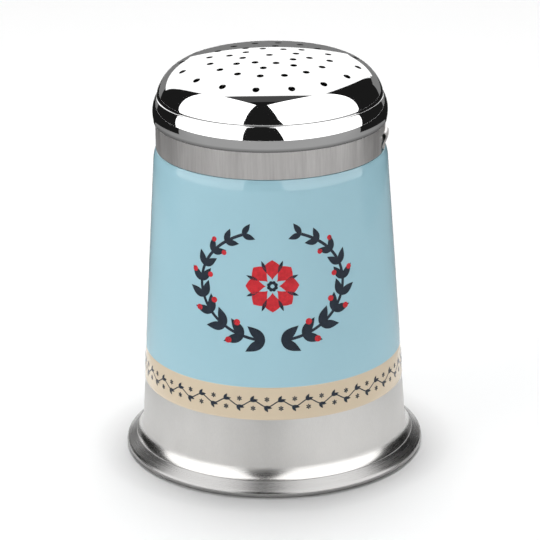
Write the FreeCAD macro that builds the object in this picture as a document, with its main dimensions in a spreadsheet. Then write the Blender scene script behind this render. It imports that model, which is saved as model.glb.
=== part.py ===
import FreeCAD, Part
import math
import os

import Sketcher

# Sugar shaker: a tapered enamelled body on a rolled foot, with a perforated twist-lock lid.
# Millimetres, +Z up, origin at the middle of the circle that the foot stands on. The lid is at rest with each
# lug at the top of its slot, ready to lift off or to turn into its pocket.

SIZES = {
    # Body: flare, tapered side, rounded shoulder and upright neck, in one sheet.
    "shell_sheet": 0.6,
    "waist_radius": 39.86,
    "flare_width": 2.04,
    "flare_height": 3.75,
    "side_height": 83.05,
    "shoulder_radius": 34.43,
    "shoulder_height": 2.8,
    "neck_inset": 1.38,
    "rim_gap": 1.5,
    # Rolled foot: an open channel with a flat land on top that carries the body.
    "foot_sheet": 0.5,
    "foot_spread": 3.1,
    "foot_height": 4.6,
    "foot_curl": 1.4,
    "land_width": 0.9,
    "land_lip": 0.1,
    # Base plate: a disc with a raised middle and a rim turned down inside the foot.
    "base_sheet": 0.5,
    "base_fit": 0.05,
    "base_drop": 0.1,
    "base_lift": 0.2,
    "base_border": 6.5,
    "base_step_width": 1.5,
    "base_step_height": 1.0,
    # Enamel: bare steel up to the cream band, blue from there to the neck.
    "enamel_gap": 0.05,
    "enamel_coat": 0.15,
    "bare_height": 14.25,
    "band_height": 9.95,
    # Lugs on the neck, and the slots that let them in.
    "lug_diameter": 2.0,
    "lug_reach": 0.6,
    "lug_gap": 0.6,
    "slot_play": 1.0,
    "slot_height": 5.1,
    # Lock ring: a sleeve around the neck, flanged at the top, with pressed-out pockets beside its slots.
    "ring_sheet": 0.5,
    "ring_show": 8.2,
    "seat_gap": 0.2,
    "lid_clearance": 0.3,
    "flange_height": 0.6,
    "flange_clearance": 0.12,
    "pocket_sheet": 0.4,
    "pocket_depth": 0.95,
    "pocket_floor": 0.65,
    "pocket_lip": 0.8,
    "pocket_round": 1.2,
    "pocket_end_wall": 0.5,
    # Cap: curled lip, bead, crease and perforated crown, in one sheet.
    "cap_sheet": 0.4,
    "lip_clearance": 0.07,
    "bead_swell": 0.18,
    "bead_height": 1.4,
    "crease_height": 5.82,
    "crease_depth": 1.13,
    "cap_rise": 11.76,
    "corner_radius": 12.05,
    "crown_radius": 125.0,
    "hole_diameter": 2.05,
    "hole_margin": 7.38,
    "second_hole_circle": 17.73,
    "third_hole_circle": 11.79,
    "inner_hole_circle": 8.0,
    # How far every cut runs past what it cuts.
    "overrun": 2.0,
}

# Degrees.
ANGLES = {
    "pocket_sweep_angle": 14.0,
    "pocket_mouth_angle": -10.8,
    "lock_spacing_angle": 150.0,
    "hole_pattern_angle": 13.8,
}

LUG_COUNT = 2
FULL_TURN = 360.0

# Levels above the table and radii that more than one piece uses, as expressions of the sheet.
FLARE_TOP = "(Sizes.foot_height + Sizes.flare_height)"
SHOULDER = f"({FLARE_TOP} + Sizes.side_height)"
NECK_BASE = f"({SHOULDER} + Sizes.shoulder_height)"
BAND_BOTTOM = f"({FLARE_TOP} + Sizes.bare_height)"
BAND_TOP = f"({BAND_BOTTOM} + Sizes.band_height)"
RING_BOTTOM = f"({NECK_BASE} + Sizes.seat_gap)"
SLOT_TOP = f"({RING_BOTTOM} + Sizes.slot_height)"
LIP_BOTTOM = f"({RING_BOTTOM} + Sizes.ring_show)"
BEAD_LEVEL = f"({LIP_BOTTOM} + Sizes.bead_height)"
CREASE = f"({BEAD_LEVEL} + Sizes.crease_height)"
CAP_TOP = f"({CREASE} + Sizes.cap_rise)"
NECK_TOP = f"({CREASE} - Sizes.rim_gap)"
FLARE_RADIUS = "(Sizes.waist_radius + Sizes.flare_width)"
FOOT_OPENING = f"({FLARE_RADIUS} - Sizes.land_width)"
NECK_RADIUS = "(Sizes.shoulder_radius - Sizes.neck_inset)"
RING_INNER = f"({NECK_RADIUS} + Sizes.lid_clearance)"
RING_OUTER = f"({RING_INNER} + Sizes.ring_sheet)"
SLOT_WIDTH = "(Sizes.lug_diameter + 2 * Sizes.slot_play)"
LIP_OUTER = f"({RING_OUTER} + Sizes.lip_clearance + Sizes.cap_sheet)"
BEAD_RADIUS = f"({LIP_OUTER} + Sizes.bead_swell)"
CREASE_RADIUS = f"({BEAD_RADIUS} - Sizes.crease_depth)"

HOLE_CIRCLES = [
    # radius of the circle, holes on it, turn in steps of its own pattern
    (f"({CREASE_RADIUS} - Sizes.hole_margin)", 16, 0.0),
    ("Sizes.second_hole_circle", 16, 0.0),
    ("Sizes.third_hole_circle", 8, 0.5),
    ("Sizes.inner_hole_circle", 8, 0.0),
]

# How an edge first bows to the left of its way, as a share of its chord. Tangents and radii set its true form.
STRAIGHT_SHARE = 0.0
HOLLOW_SHARE = 0.15
ROUND_SHARE = -0.15
CROWN_SHARE = -0.04

document = FreeCAD.newDocument("SugarShaker")
sheet = document.addObject("Spreadsheet::Sheet", "Sizes")
UP = FreeCAD.Vector(0, 0, 1)


def fill_sheet():
    """Write every driving dimension into the sheet, one alias a row."""
    for row, (name, value) in enumerate({**SIZES, **ANGLES}.items(), 1):
        sheet.set(f"A{row}", name)
        sheet.set(f"B{row}", str(value))
        sheet.setAlias(f"B{row}", name)
    document.recompute()


def number(expression):
    """The present value of an expression of the sheet."""
    return float(sheet.evalExpression(expression))


def side_radius(level):
    """Radius of the tapered side at a level, as an expression."""
    taper = "(Sizes.waist_radius - Sizes.shoulder_radius) / Sizes.side_height"
    return f"(Sizes.waist_radius - ({level} - {FLARE_TOP}) * {taper})"


def under_coat(radius):
    """Radius of the enamel's inner face over a radius of the steel, as an expression."""
    return f"({radius} + Sizes.enamel_gap)"


def over_coat(radius):
    """Radius of the enamel's outer face over a radius of the steel, as an expression."""
    return f"({under_coat(radius)} + Sizes.enamel_coat)"


def new_body(label):
    body = document.addObject("PartDesign::Body", label)
    body.Label = label
    return body


def new_sketch(body, name, role="XZ_Plane"):
    """An empty sketch on one of the body's own origin planes."""
    sketch = body.newObject("Sketcher::SketchObject", name)
    plane = [feature for feature in body.Origin.OriginFeatures if feature.Role == role][0]
    sketch.AttachmentSupport = [(plane, "")]
    sketch.MapMode = "FlatFace"
    return sketch


def bind(sketch, expression, *arguments):
    """Add a dimension to a sketch and drive it by an expression."""
    index = sketch.addConstraint(Sketcher.Constraint(*arguments, number(expression)))
    name = f"size_{index}"
    sketch.renameConstraint(index, name)
    sketch.setExpression(f"Constraints.{name}", expression)


def pin(sketch, edge, end, direction, expression):
    """Hold one coordinate of an edge's end, on the sketch's own axis where the expression is zero."""
    if expression == "0":
        axis = -2 if direction == "DistanceX" else -1
        sketch.addConstraint(Sketcher.Constraint("PointOnObject", edge, end, axis))
    else:
        bind(sketch, expression, direction, -1, 1, edge, end)


def corner(x, y, bow=STRAIGHT_SHARE, smooth=False, free=False):
    """A corner of an outline and the bow of the edge that leaves it.

    A smooth corner has no kink. A free one starts at its place and slides to where its edges meet.
    """
    return {"x": x, "y": y, "bow": bow, "smooth": smooth, "free": free}


def edge_shape(start, end, bow):
    """A straight edge, or an arc that bows to the left of its way by a share of its chord."""
    if bow == STRAIGHT_SHARE:
        return Part.LineSegment(start, end)
    chord = end - start
    left = FreeCAD.Vector(-chord.y, chord.x, 0)
    return Part.Arc(start, (start + end) / 2 + left * bow, end)


def draw(sketch, corners):
    """Draw a closed outline through its corners and return its edges."""
    places = [FreeCAD.Vector(number(item["x"]), number(item["y"]), 0) for item in corners]
    edges = []
    ends = []
    for index, item in enumerate(corners):
        following = places[(index + 1) % len(places)]
        edges.append(sketch.addGeometry(edge_shape(places[index], following, item["bow"])))
        # An arc is stored counter-clockwise, so one that bows to the left of its way is stored backwards.
        ends.append((2, 1) if item["bow"] > 0 else (1, 2))
    for index, item in enumerate(corners):
        joint = "Tangent" if item["smooth"] else "Coincident"
        sketch.addConstraint(Sketcher.Constraint(
            joint, edges[index - 1], ends[index - 1][1], edges[index], ends[index][0]))
        if not item["free"]:
            pin(sketch, edges[index], ends[index][0], "DistanceX", item["x"])
            pin(sketch, edges[index], ends[index][0], "DistanceY", item["y"])
    return edges


def turn(body, sketch, name, kind="PartDesign::Revolution", angle=None):
    """Turn a sketch about +Z, all the way round or by an angle given as an expression in degrees."""
    feature = body.newObject(kind, name)
    feature.Profile = sketch
    feature.ReferenceAxis = (sketch, ["V_Axis"])
    feature.Angle = FULL_TURN
    if angle:
        feature.setExpression("Angle", angle)
    document.recompute()
    return feature


def cut_outwards(body, sketch, name, reach):
    """Cut a sketch's outline from its plane along the plane's normal, as far as an expression says."""
    before = body.Shape.Volume
    feature = body.newObject("PartDesign::Pocket", name)
    feature.Profile = sketch
    feature.Type = "Length"
    feature.Reversed = True
    feature.setExpression("Length", reach)
    document.recompute()
    if not body.Shape.Volume < before:
        raise RuntimeError(f"{name} cuts nothing")
    return feature


def repeat(body, features, name, axis, count, spread=None):
    """Repeat features around an axis, evenly all the way round or over an angle given as an expression."""
    pattern = body.newObject("PartDesign::PolarPattern", name)
    pattern.Originals = features
    pattern.Axis = axis
    pattern.Angle = FULL_TURN
    if spread:
        pattern.setExpression("Angle", spread)
    pattern.Occurrences = count
    body.Tip = pattern
    document.recompute()


def thin_down(body, solid, thickness, is_open):
    """Thin a solid down to sheet metal, measured inwards, open at the faces that is_open picks out."""
    names = [f"Face{index}" for index, face in enumerate(solid.Shape.Faces, 1) if is_open(face)]
    feature = body.newObject("PartDesign::Thickness", "sheet_metal")
    feature.Base = (solid, names)
    feature.Mode = "Skin"
    feature.Join = "Intersection"
    feature.Reversed = True
    feature.setExpression("Value", thickness)
    document.recompute()


def is_flat(face):
    return face.Surface.TypeId == "Part::GeomPlane"


def is_upright(face):
    return face.Surface.TypeId == "Part::GeomCylinder"


def make_body_shell():
    """Steel body: flare, tapered side, rounded shoulder and neck, open at both ends."""
    body = new_body("body_shell")
    sketch = new_sketch(body, "outside")
    draw(sketch, [
        corner("0", "Sizes.foot_height"),
        corner(FLARE_RADIUS, "Sizes.foot_height", bow=HOLLOW_SHARE),
        corner("Sizes.waist_radius", FLARE_TOP, smooth=True),
        corner("Sizes.shoulder_radius", SHOULDER, bow=ROUND_SHARE, smooth=True),
        corner(NECK_RADIUS, NECK_BASE),
        corner(NECK_RADIUS, NECK_TOP),
        corner("0", NECK_TOP),
    ])
    solid = turn(body, sketch, "outer_form")
    thin_down(body, solid, "Sizes.shell_sheet", is_flat)
    return body


def make_foot_ring():
    """Rolled rim: a flat land, a sloping skirt, a round edge and a flat ring to stand on, open inwards."""
    body = new_body("foot_ring")
    sketch = new_sketch(body, "section")
    foot_radius = f"({FLARE_RADIUS} + Sizes.foot_spread)"
    edges = draw(sketch, [
        corner(FOOT_OPENING, "0"),
        corner(f"({foot_radius} - Sizes.foot_curl)", "0", bow=ROUND_SHARE, smooth=True),
        corner(foot_radius, "Sizes.foot_curl", bow=ROUND_SHARE, smooth=True),
        corner(f"({foot_radius} - Sizes.foot_curl / 3)", "(2 * Sizes.foot_curl)", smooth=True, free=True),
        corner(f"({FLARE_RADIUS} + Sizes.land_lip)", "Sizes.foot_height"),
        corner(FOOT_OPENING, "Sizes.foot_height"),
    ])
    upper_curl = edges[2]
    bind(sketch, "Sizes.foot_curl", "Radius", upper_curl)
    solid = turn(body, sketch, "rim")
    thin_down(body, solid, "Sizes.foot_sheet", is_upright)
    return body


def make_base_plate():
    """Bottom disc with a raised middle; its rim is turned down and closes the foot's channel."""
    body = new_body("base_plate")
    sketch = new_sketch(body, "section")
    rim = f"({FOOT_OPENING} - Sizes.base_fit)"
    rim_inner = f"({rim} - Sizes.base_sheet)"
    floor = "(Sizes.foot_height - Sizes.base_drop)"
    underside = f"({floor} - Sizes.base_sheet)"
    step_outer = f"({rim} - Sizes.base_border)"
    step_inner = f"({step_outer} - Sizes.base_step_width)"
    draw(sketch, [
        corner("0", f"({underside} + Sizes.base_step_height)"),
        corner(step_inner, f"({underside} + Sizes.base_step_height)"),
        corner(step_outer, underside),
        corner(rim_inner, underside),
        corner(rim_inner, "Sizes.base_lift"),
        corner(rim, "Sizes.base_lift"),
        corner(rim, floor),
        corner(step_outer, floor),
        corner(step_inner, f"({floor} + Sizes.base_step_height)"),
        corner("0", f"({floor} + Sizes.base_step_height)"),
    ])
    turn(body, sketch, "plate")
    return body


def make_cream_enamel():
    """Cream band: a thin coat around the tapered side."""
    body = new_body("cream_enamel")
    sketch = new_sketch(body, "section")
    draw(sketch, [
        corner(under_coat(side_radius(BAND_BOTTOM)), BAND_BOTTOM),
        corner(over_coat(side_radius(BAND_BOTTOM)), BAND_BOTTOM),
        corner(over_coat(side_radius(BAND_TOP)), BAND_TOP),
        corner(under_coat(side_radius(BAND_TOP)), BAND_TOP),
    ])
    turn(body, sketch, "coat")
    return body


def make_blue_enamel():
    """Blue coat from the cream band up over the shoulder to the neck."""
    body = new_body("blue_enamel")
    outside = new_sketch(body, "outside")
    draw(outside, [
        corner("0", BAND_TOP),
        corner(over_coat(side_radius(BAND_TOP)), BAND_TOP),
        corner(over_coat("Sizes.shoulder_radius"), SHOULDER, bow=ROUND_SHARE, smooth=True),
        corner(over_coat(NECK_RADIUS), NECK_BASE),
        corner("0", NECK_BASE),
    ])
    turn(body, outside, "coat")
    steel = new_sketch(body, "steel")
    draw(steel, [
        corner("0", FLARE_TOP),
        corner(under_coat("Sizes.waist_radius"), FLARE_TOP),
        corner(under_coat("Sizes.shoulder_radius"), SHOULDER, bow=ROUND_SHARE, smooth=True),
        corner(under_coat(NECK_RADIUS), NECK_BASE),
        corner(under_coat(NECK_RADIUS), f"({NECK_BASE} + Sizes.overrun)"),
        corner("0", f"({NECK_BASE} + Sizes.overrun)"),
    ])
    turn(body, steel, "steel_underneath", "PartDesign::Groove")
    return body


def make_bayonet_lugs():
    """Studs seated on the neck, one at the top of each slot."""
    neck = document.addObject("Part::Cylinder", "neck_form")
    neck.setExpression("Radius", NECK_RADIUS)
    neck.setExpression("Height", NECK_TOP)
    level = number(f"{SLOT_TOP} - Sizes.lug_gap - Sizes.lug_diameter / 2")
    slot_half_angle = math.degrees(math.asin(number(f"{SLOT_WIDTH} / 2 / {RING_OUTER}")))
    sideways = FreeCAD.Rotation(FreeCAD.Vector(0, 1, 0), FULL_TURN / 4)
    studs = []
    for index in range(LUG_COUNT):
        rod = document.addObject("Part::Cylinder", f"lug_rod_{index}")
        rod.setExpression("Radius", "Sizes.lug_diameter / 2")
        rod.setExpression("Height", f"{NECK_RADIUS} + Sizes.lug_reach")
        first_angle = number("Sizes.pocket_mouth_angle") - slot_half_angle
        angle = first_angle + index * number("Sizes.lock_spacing_angle")
        outwards = FreeCAD.Rotation(UP, angle).multiply(sideways)
        rod.Placement = FreeCAD.Placement(FreeCAD.Vector(0, 0, level), outwards)
        stud = document.addObject("Part::Cut", f"lug_{index}")
        stud.Base = rod
        stud.Tool = neck
        studs.append(stud)
    lugs = document.addObject("Part::Compound", "bayonet_lugs")
    lugs.Links = studs
    lugs.Label = "bayonet_lugs"
    document.recompute()
    return lugs


def make_lock_ring():
    """Sleeve around the neck, held by its flange in the cap's lip, with a slot and a pocket for each lug."""
    body = new_body("lock_ring")
    section = new_sketch(body, "sleeve_section")
    flange_top = f"({BEAD_LEVEL} + Sizes.flange_height / 2)"
    flange_bottom = f"({flange_top} - Sizes.flange_height)"
    flange_outer = f"({BEAD_RADIUS} - Sizes.cap_sheet - Sizes.flange_clearance)"
    draw(section, [
        corner(RING_INNER, RING_BOTTOM),
        corner(RING_OUTER, RING_BOTTOM),
        corner(RING_OUTER, flange_bottom),
        corner(flange_outer, flange_bottom),
        corner(flange_outer, flange_top),
        corner(RING_INNER, flange_top),
    ])
    turn(body, section, "sleeve")

    # The pocket swells out of the sleeve beside the slot: a slope, then a round top.
    middle_of_wall = f"({RING_INNER} + Sizes.ring_sheet / 2)"
    floor = f"({RING_BOTTOM} + Sizes.pocket_floor)"
    peak = f"({SLOT_TOP} - Sizes.pocket_round)"
    crest = f"({RING_OUTER} + Sizes.pocket_depth)"
    swelling = new_sketch(body, "pocket_section")
    draw(swelling, [
        corner(middle_of_wall, floor),
        corner(RING_OUTER, floor),
        corner(crest, peak, bow=ROUND_SHARE, smooth=True),
        corner(RING_OUTER, SLOT_TOP),
        corner(middle_of_wall, SLOT_TOP),
    ])
    pocket = turn(body, swelling, "pocket", angle="Sizes.pocket_sweep_angle")

    # Its inside is open to the slot and closed at the far end.
    inwards = f"({RING_INNER} - Sizes.overrun)"
    ceiling = f"({SLOT_TOP} - Sizes.pocket_sheet)"
    hollow = new_sketch(body, "hollow_section")
    draw(hollow, [
        corner(inwards, f"({floor} + Sizes.pocket_lip)"),
        corner(f"({RING_OUTER} - Sizes.pocket_sheet)", f"({floor} + Sizes.pocket_lip)"),
        corner(f"({crest} - Sizes.pocket_sheet)", peak),
        corner(RING_OUTER, ceiling),
        corner(inwards, ceiling),
    ])
    end_wall_angle = f"Sizes.pocket_end_wall / {RING_OUTER} * 180 / pi"
    inside = turn(body, hollow, "pocket_inside", "PartDesign::Groove",
                  f"Sizes.pocket_sweep_angle - {end_wall_angle}")

    window = new_sketch(body, "slot_outline", "YZ_Plane")
    below = f"({RING_BOTTOM} - Sizes.overrun)"
    draw(window, [
        corner(f"(0 - {SLOT_WIDTH})", below),
        corner("0", below),
        corner("0", SLOT_TOP),
        corner(f"(0 - {SLOT_WIDTH})", SLOT_TOP),
    ])
    slot = cut_outwards(body, window, "slot", f"{crest} + Sizes.overrun")
    locks_spread = f"Sizes.lock_spacing_angle * {LUG_COUNT - 1}"
    repeat(body, [pocket, inside, slot], "all_locks", (section, ["V_Axis"]), LUG_COUNT, locks_spread)
    body.Placement = FreeCAD.Placement(
        FreeCAD.Vector(0, 0, 0), FreeCAD.Rotation(UP, number("Sizes.pocket_mouth_angle")))
    return body


def draw_cap(sketch, skin):
    """Outline of the cap's lip, bead, crease, corner and crown, set in by a skin, closed on the axis."""
    crease = f"({CREASE_RADIUS} - {skin})"
    top = f"({CAP_TOP} - {skin})"
    edges = draw(sketch, [
        corner("0", LIP_BOTTOM),
        corner(f"({LIP_OUTER} - {skin})", LIP_BOTTOM),
        corner(f"({BEAD_RADIUS} - {skin})", BEAD_LEVEL, bow=ROUND_SHARE, smooth=True),
        corner(crease, CREASE, bow=ROUND_SHARE),
        corner(f"({crease} - Sizes.corner_radius / 2)", f"({top} - Sizes.cap_rise / 4)",
               bow=CROWN_SHARE, smooth=True, free=True),
        corner("0", top),
    ])
    rounded_corner, crown = edges[3], edges[4]
    bind(sketch, f"Sizes.corner_radius - {skin}", "Radius", rounded_corner)
    bind(sketch, f"Sizes.crown_radius - {skin}", "Radius", crown)
    sketch.addConstraint(Sketcher.Constraint("PointOnObject", crown, 3, -2))


def cut_hole(body, name, circle, angle):
    """Cut one hole through the crown, at an angle on a circle about the axis; return it and its sketch."""
    sketch = new_sketch(body, f"{name}_outline", "XY_Plane")
    radius = "Sizes.hole_diameter / 2"
    along_x = f"{circle} * cos({angle} * 1 deg)"
    along_y = f"{circle} * sin({angle} * 1 deg)"
    middle = FreeCAD.Vector(number(along_x), number(along_y), 0)
    hole = sketch.addGeometry(Part.Circle(middle, UP, number(radius)))
    bind(sketch, radius, "Radius", hole)
    if circle == "0":
        sketch.addConstraint(Sketcher.Constraint("Coincident", hole, 3, -1, 1))
    else:
        bind(sketch, along_x, "DistanceX", -1, 1, hole, 3)
        bind(sketch, along_y, "DistanceY", -1, 1, hole, 3)
    return cut_outwards(body, sketch, name, f"{CAP_TOP} + Sizes.overrun"), sketch


def make_lid_cap():
    """Domed cap in one sheet, with a hole in the middle of the crown and rings of holes around it."""
    body = new_body("lid_cap")
    outside = new_sketch(body, "outside")
    draw_cap(outside, "0")
    turn(body, outside, "outer_form")
    inside = new_sketch(body, "inside")
    draw_cap(inside, "Sizes.cap_sheet")
    turn(body, inside, "inner_form", "PartDesign::Groove")
    cut_hole(body, "middle_hole", "0", "0")
    for index, (circle, count, step) in enumerate(HOLE_CIRCLES):
        angle = f"(Sizes.hole_pattern_angle + {step * FULL_TURN / count})"
        hole, sketch = cut_hole(body, f"hole_{index}", circle, angle)
        repeat(body, [hole], f"hole_circle_{index}", (sketch, ["N_Axis"]), count)
    return body


def check(pieces):
    """Stop if any object failed to build or any piece is missing or invalid."""
    for item in document.Objects:
        if "Invalid" in item.State or "Error" in item.State:
            raise RuntimeError(f"{item.Label} failed: {item.State}")
    for piece in pieces:
        if piece.Shape.isNull() or not piece.Shape.isValid():
            raise RuntimeError(f"{piece.Label} has no valid shape")


def main():
    fill_sheet()
    pieces = [
        make_body_shell(),
        make_foot_ring(),
        make_base_plate(),
        make_cream_enamel(),
        make_blue_enamel(),
        make_bayonet_lugs(),
        make_lock_ring(),
        make_lid_cap(),
    ]
    document.recompute()
    check(pieces)
    os.makedirs("parts", exist_ok=True)
    for piece in pieces:
        piece.Shape.exportStep(f"parts/{piece.Label}.step")
        print(f"{piece.Label}: {len(piece.Shape.Solids)} solids, {piece.Shape.Volume:.1f} cubic mm")


main()
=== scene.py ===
import math

import bmesh
import bpy
from bpy.props import FloatProperty, FloatVectorProperty, IntProperty, PointerProperty
from mathutils import Matrix, Vector


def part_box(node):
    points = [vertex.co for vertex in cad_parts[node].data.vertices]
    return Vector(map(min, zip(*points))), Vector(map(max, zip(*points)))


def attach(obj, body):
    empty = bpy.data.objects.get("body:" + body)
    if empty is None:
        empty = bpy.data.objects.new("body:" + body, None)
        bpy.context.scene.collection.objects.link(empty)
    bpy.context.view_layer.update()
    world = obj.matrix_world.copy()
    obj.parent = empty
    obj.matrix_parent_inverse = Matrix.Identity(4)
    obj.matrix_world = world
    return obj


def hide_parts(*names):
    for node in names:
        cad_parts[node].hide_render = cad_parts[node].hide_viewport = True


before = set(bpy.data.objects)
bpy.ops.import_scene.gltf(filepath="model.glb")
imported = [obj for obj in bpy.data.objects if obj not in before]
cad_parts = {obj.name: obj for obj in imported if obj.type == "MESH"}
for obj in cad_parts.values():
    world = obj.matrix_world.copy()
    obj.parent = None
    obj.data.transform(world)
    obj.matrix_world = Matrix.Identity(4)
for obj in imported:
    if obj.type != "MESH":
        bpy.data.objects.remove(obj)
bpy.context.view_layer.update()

bl_info = {
    "name": "Sugar Shaker Looks",
    "version": (1, 0, 0),
    "blender": (4, 5, 0),
    "location": "View3D > Sidebar > Shaker",
    "description": "Dresses the sugar shaker in steel, chrome, enamel and print, and sets up its studio",
    "category": "Object",
}

FOOT_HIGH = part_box("foot_ring")[1]
SHELL_LOW, SHELL_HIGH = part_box("body_shell")
CREAM_LOW, CREAM_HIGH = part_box("cream_enamel")
BLUE_LOW, BLUE_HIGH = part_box("blue_enamel")
CAP_LOW, CAP_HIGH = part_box("lid_cap")
RING_LOW, RING_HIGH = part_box("lock_ring")
# Radius, number of holes and turn in degrees of each circle of holes in the cap.
HOLE_RINGS = (
    (0.02599, 16, 13.8),
    (0.01773, 16, 13.8),
    (0.01179, 8, 36.3),
    (0.008, 8, 13.8),
)
# Steps of the lines and meshes.
HOLE_STEPS = 28
STUD_STEPS = 28
COAT_STEPS = 40
STEM_STEPS = 96
WAVE_STEPS = 24
SLOT_STEPS = 6
POCKET_STEPS = 36
PLAIN_STEPS = 100
POCKET_ROWS = 22
UPPER_ROWS = 8
APRON_STEPS = 72
# Limits and shares of the shapes.
SAME_POINT = 1e-7
MITRE_LIMIT = 0.4
SHARP_ANGLE = math.radians(30.0)
COAT_EDGE_DROP = 0.6
STUD_EDGE = 0.3
STRIP_PROUD = 0.8
ON_CROWN = 2e-5
CROWN_FACING = 0.7
POCKET_FADE = 0.3
# The part of the noise that the finishes spread over their tones and colours.
NOISE_RANGE = (0.3, 0.7)
RAMP_RANGE = (0.32, 0.68)


def length(name, description, default):
    """A length in metres that a user may change."""
    return FloatProperty(name=name, description=description, default=default, unit="LENGTH", precision=5)


def angle(name, description, degrees):
    """An angle that a user may change."""
    return FloatProperty(name=name, description=description, default=math.radians(degrees), unit="ROTATION")


def colour(name, description, default):
    """A colour that a user may change."""
    return FloatVectorProperty(
        name=name, description=description, default=default, subtype="COLOR", min=0, max=1,
    )


class ShakerSizes(bpy.types.PropertyGroup):
    """Sizes of the turned pieces, in the frame of the CAD part."""

    segments: IntProperty(
        name="Segments", description="Steps round every turned piece", default=240, min=24,
    )
    waist_radius: length("Waist radius", "Side radius where the flare begins", 0.03986)
    waist_level: length("Waist level", "Height where the flare begins", 0.00835)
    hem_radius: length("Hem radius", "Radius of the flare's lower edge", 0.0419)
    shoulder_radius: length("Shoulder radius", "Side radius where the shoulder begins", 0.03443)
    shoulder_level: length("Shoulder level", "Height where the shoulder begins", 0.0914)
    shoulder_bend: length("Shoulder bend", "How far below the shoulder level its curve begins", 0.0008)
    ledge_radius: length("Ledge radius", "Radius of the shoulder's ledge under the collar", 0.03372)
    neck_radius: length("Neck radius", "Outer radius of the neck", 0.03305)
    neck_level: length("Neck level", "Height where the neck begins", BLUE_HIGH.z)
    shell_sheet: length("Shell sheet", "Thickness of the body's sheet", 0.0006)
    foot_land: length("Foot land", "Radius of the foot's inner edge", 0.041)
    foot_crest: length("Foot crest", "Radius where the foot's skirt begins", 0.042)
    curl_radius: length("Curl radius", "Radius of the rolled rim", 0.0014)
    foot_sheet: length("Foot sheet", "Thickness of the foot's sheet", 0.0005)
    foot_bend: length("Foot bend", "Reach of the rounding where the foot's skirt begins", 0.0002)
    base_radius: length("Base radius", "Radius of the base plate's rim", 0.04095)
    base_step_radius: length("Base step", "Radius where the raised middle begins", 0.03445)
    base_rise: length("Base rise", "Height of the raised middle", 0.001)
    base_slant: length("Base slant", "Width of the slope up to the raised middle", 0.0015)
    base_sheet: length("Base sheet", "Thickness of the base plate's sheet", 0.0005)
    base_bend: length("Base bend", "Reach of the rounding of the base plate's corners", 0.0004)
    polish_start: length("Polish start", "How far below the waist the flare's polish begins", 0.0002)
    polish_full: length("Polish full", "How far below the waist the flare's polish is full", 0.0026)
    enamel_gap: length("Enamel gap", "Space under the enamel coats", 0.00005)
    enamel_coat: length("Enamel coat", "Thickness of the enamel coats", 0.00015)
    enamel_edge: length("Enamel edge", "Reach of the cream coat's soft edges", 0.0002)
    ledge_bend: length("Ledge bend", "Reach of the blue coat's rounding at the ledge", 0.00015)
    lug_radius: length("Lug radius", "Radius of the studs on the neck", 0.001)
    lug_level: length("Lug level", "Height of the studs on the neck", 0.0979)
    lug_reach: length("Lug reach", "How far the studs stand out of the neck", 0.0006)
    lug_turn: angle("Lug turn", "Where the first stud stands, from +X", -14.19)
    lock_spacing: angle("Lock spacing", "Angle from the first lock to the second", 150.0)


class ShakerLid(bpy.types.PropertyGroup):
    """Sizes of the cap and of the collar under it."""

    lip_radius: length("Lip radius", "Radius of the cap's lower edge", 0.03432)
    bead_radius: length("Bead radius", "Radius where the lip's straight part meets the bead", 0.0345)
    bead_level: length("Bead level", "Height where the lip's straight part meets the bead", 0.104)
    crease_radius: length("Crease radius", "Radius of the crease above the bead", 0.03337)
    crease_level: length("Crease level", "Height of the crease above the bead", 0.10982)
    crease_depth: length("Crease depth", "How far the crease is pressed in behind the bead", 0.00022)
    crease_bend: length("Crease bend", "Reach of the crease's rounding", 0.00018)
    valley_bend: length("Valley bend", "Reach of the rounding behind the crease", 0.00014)
    dome_lean: angle("Dome lean", "Angle on the dome's edge where it turns in to the crease", 21.0)
    # The lip's lower edge is painted darker over this height, as painted shade.
    lip_shade_height: length("Shaded height", "Height of the shaded edge of the cap's lip", 0.0012)
    corner_radius: length("Corner radius", "Radius of the dome's rounded edge", 0.01205)
    crown_radius: length("Crown radius", "Radius of the dome's flat-looking top", 0.125)
    cap_sheet: length("Cap sheet", "Thickness of the cap's sheet", 0.0004)
    hole_radius: length("Hole radius", "Radius of the pouring holes", 0.001025)
    punch_drop: length("Punch drop", "How far the punches' middle lies below the cap's top", 0.003)
    punch_reach: length("Punch reach", "Length of the punches that cut the holes", 0.012)
    ring_radius: length("Collar radius", "Outer radius of the collar", 0.03385)
    ring_sheet: length("Collar sheet", "Thickness of the collar's sheet", 0.0005)
    ring_edge: length("Collar edge", "Height of the collar's lowest row", 0.0003)
    flange_step: length("Flange step", "Height of the row below the collar's top edge", 0.00015)
    flange_radius: length("Flange radius", "Radius of the collar's hidden top edge", 0.03398)
    flange_level: length("Flange level", "Height where the collar's top edge begins", 0.1037)
    slot_width: length("Slot width", "Width of the lock's slots", 0.004)
    slot_top: length("Slot top", "Height of the top of the lock's slots", 0.0995)
    pocket_floor: length("Pocket floor", "Height of the bottom of the pressed pockets", 0.09505)
    pocket_crest: length("Pocket crest", "Height where the pressed pockets stand out most", 0.0983)
    pocket_depth: length("Pocket depth", "How far the pressed pockets stand out", 0.00099)
    pocket_mouth: angle("Pocket mouth", "Where the first pocket begins, from +X", -10.8)
    pocket_sweep: angle("Pocket sweep", "Angle that each pocket covers", 14.0)


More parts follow.
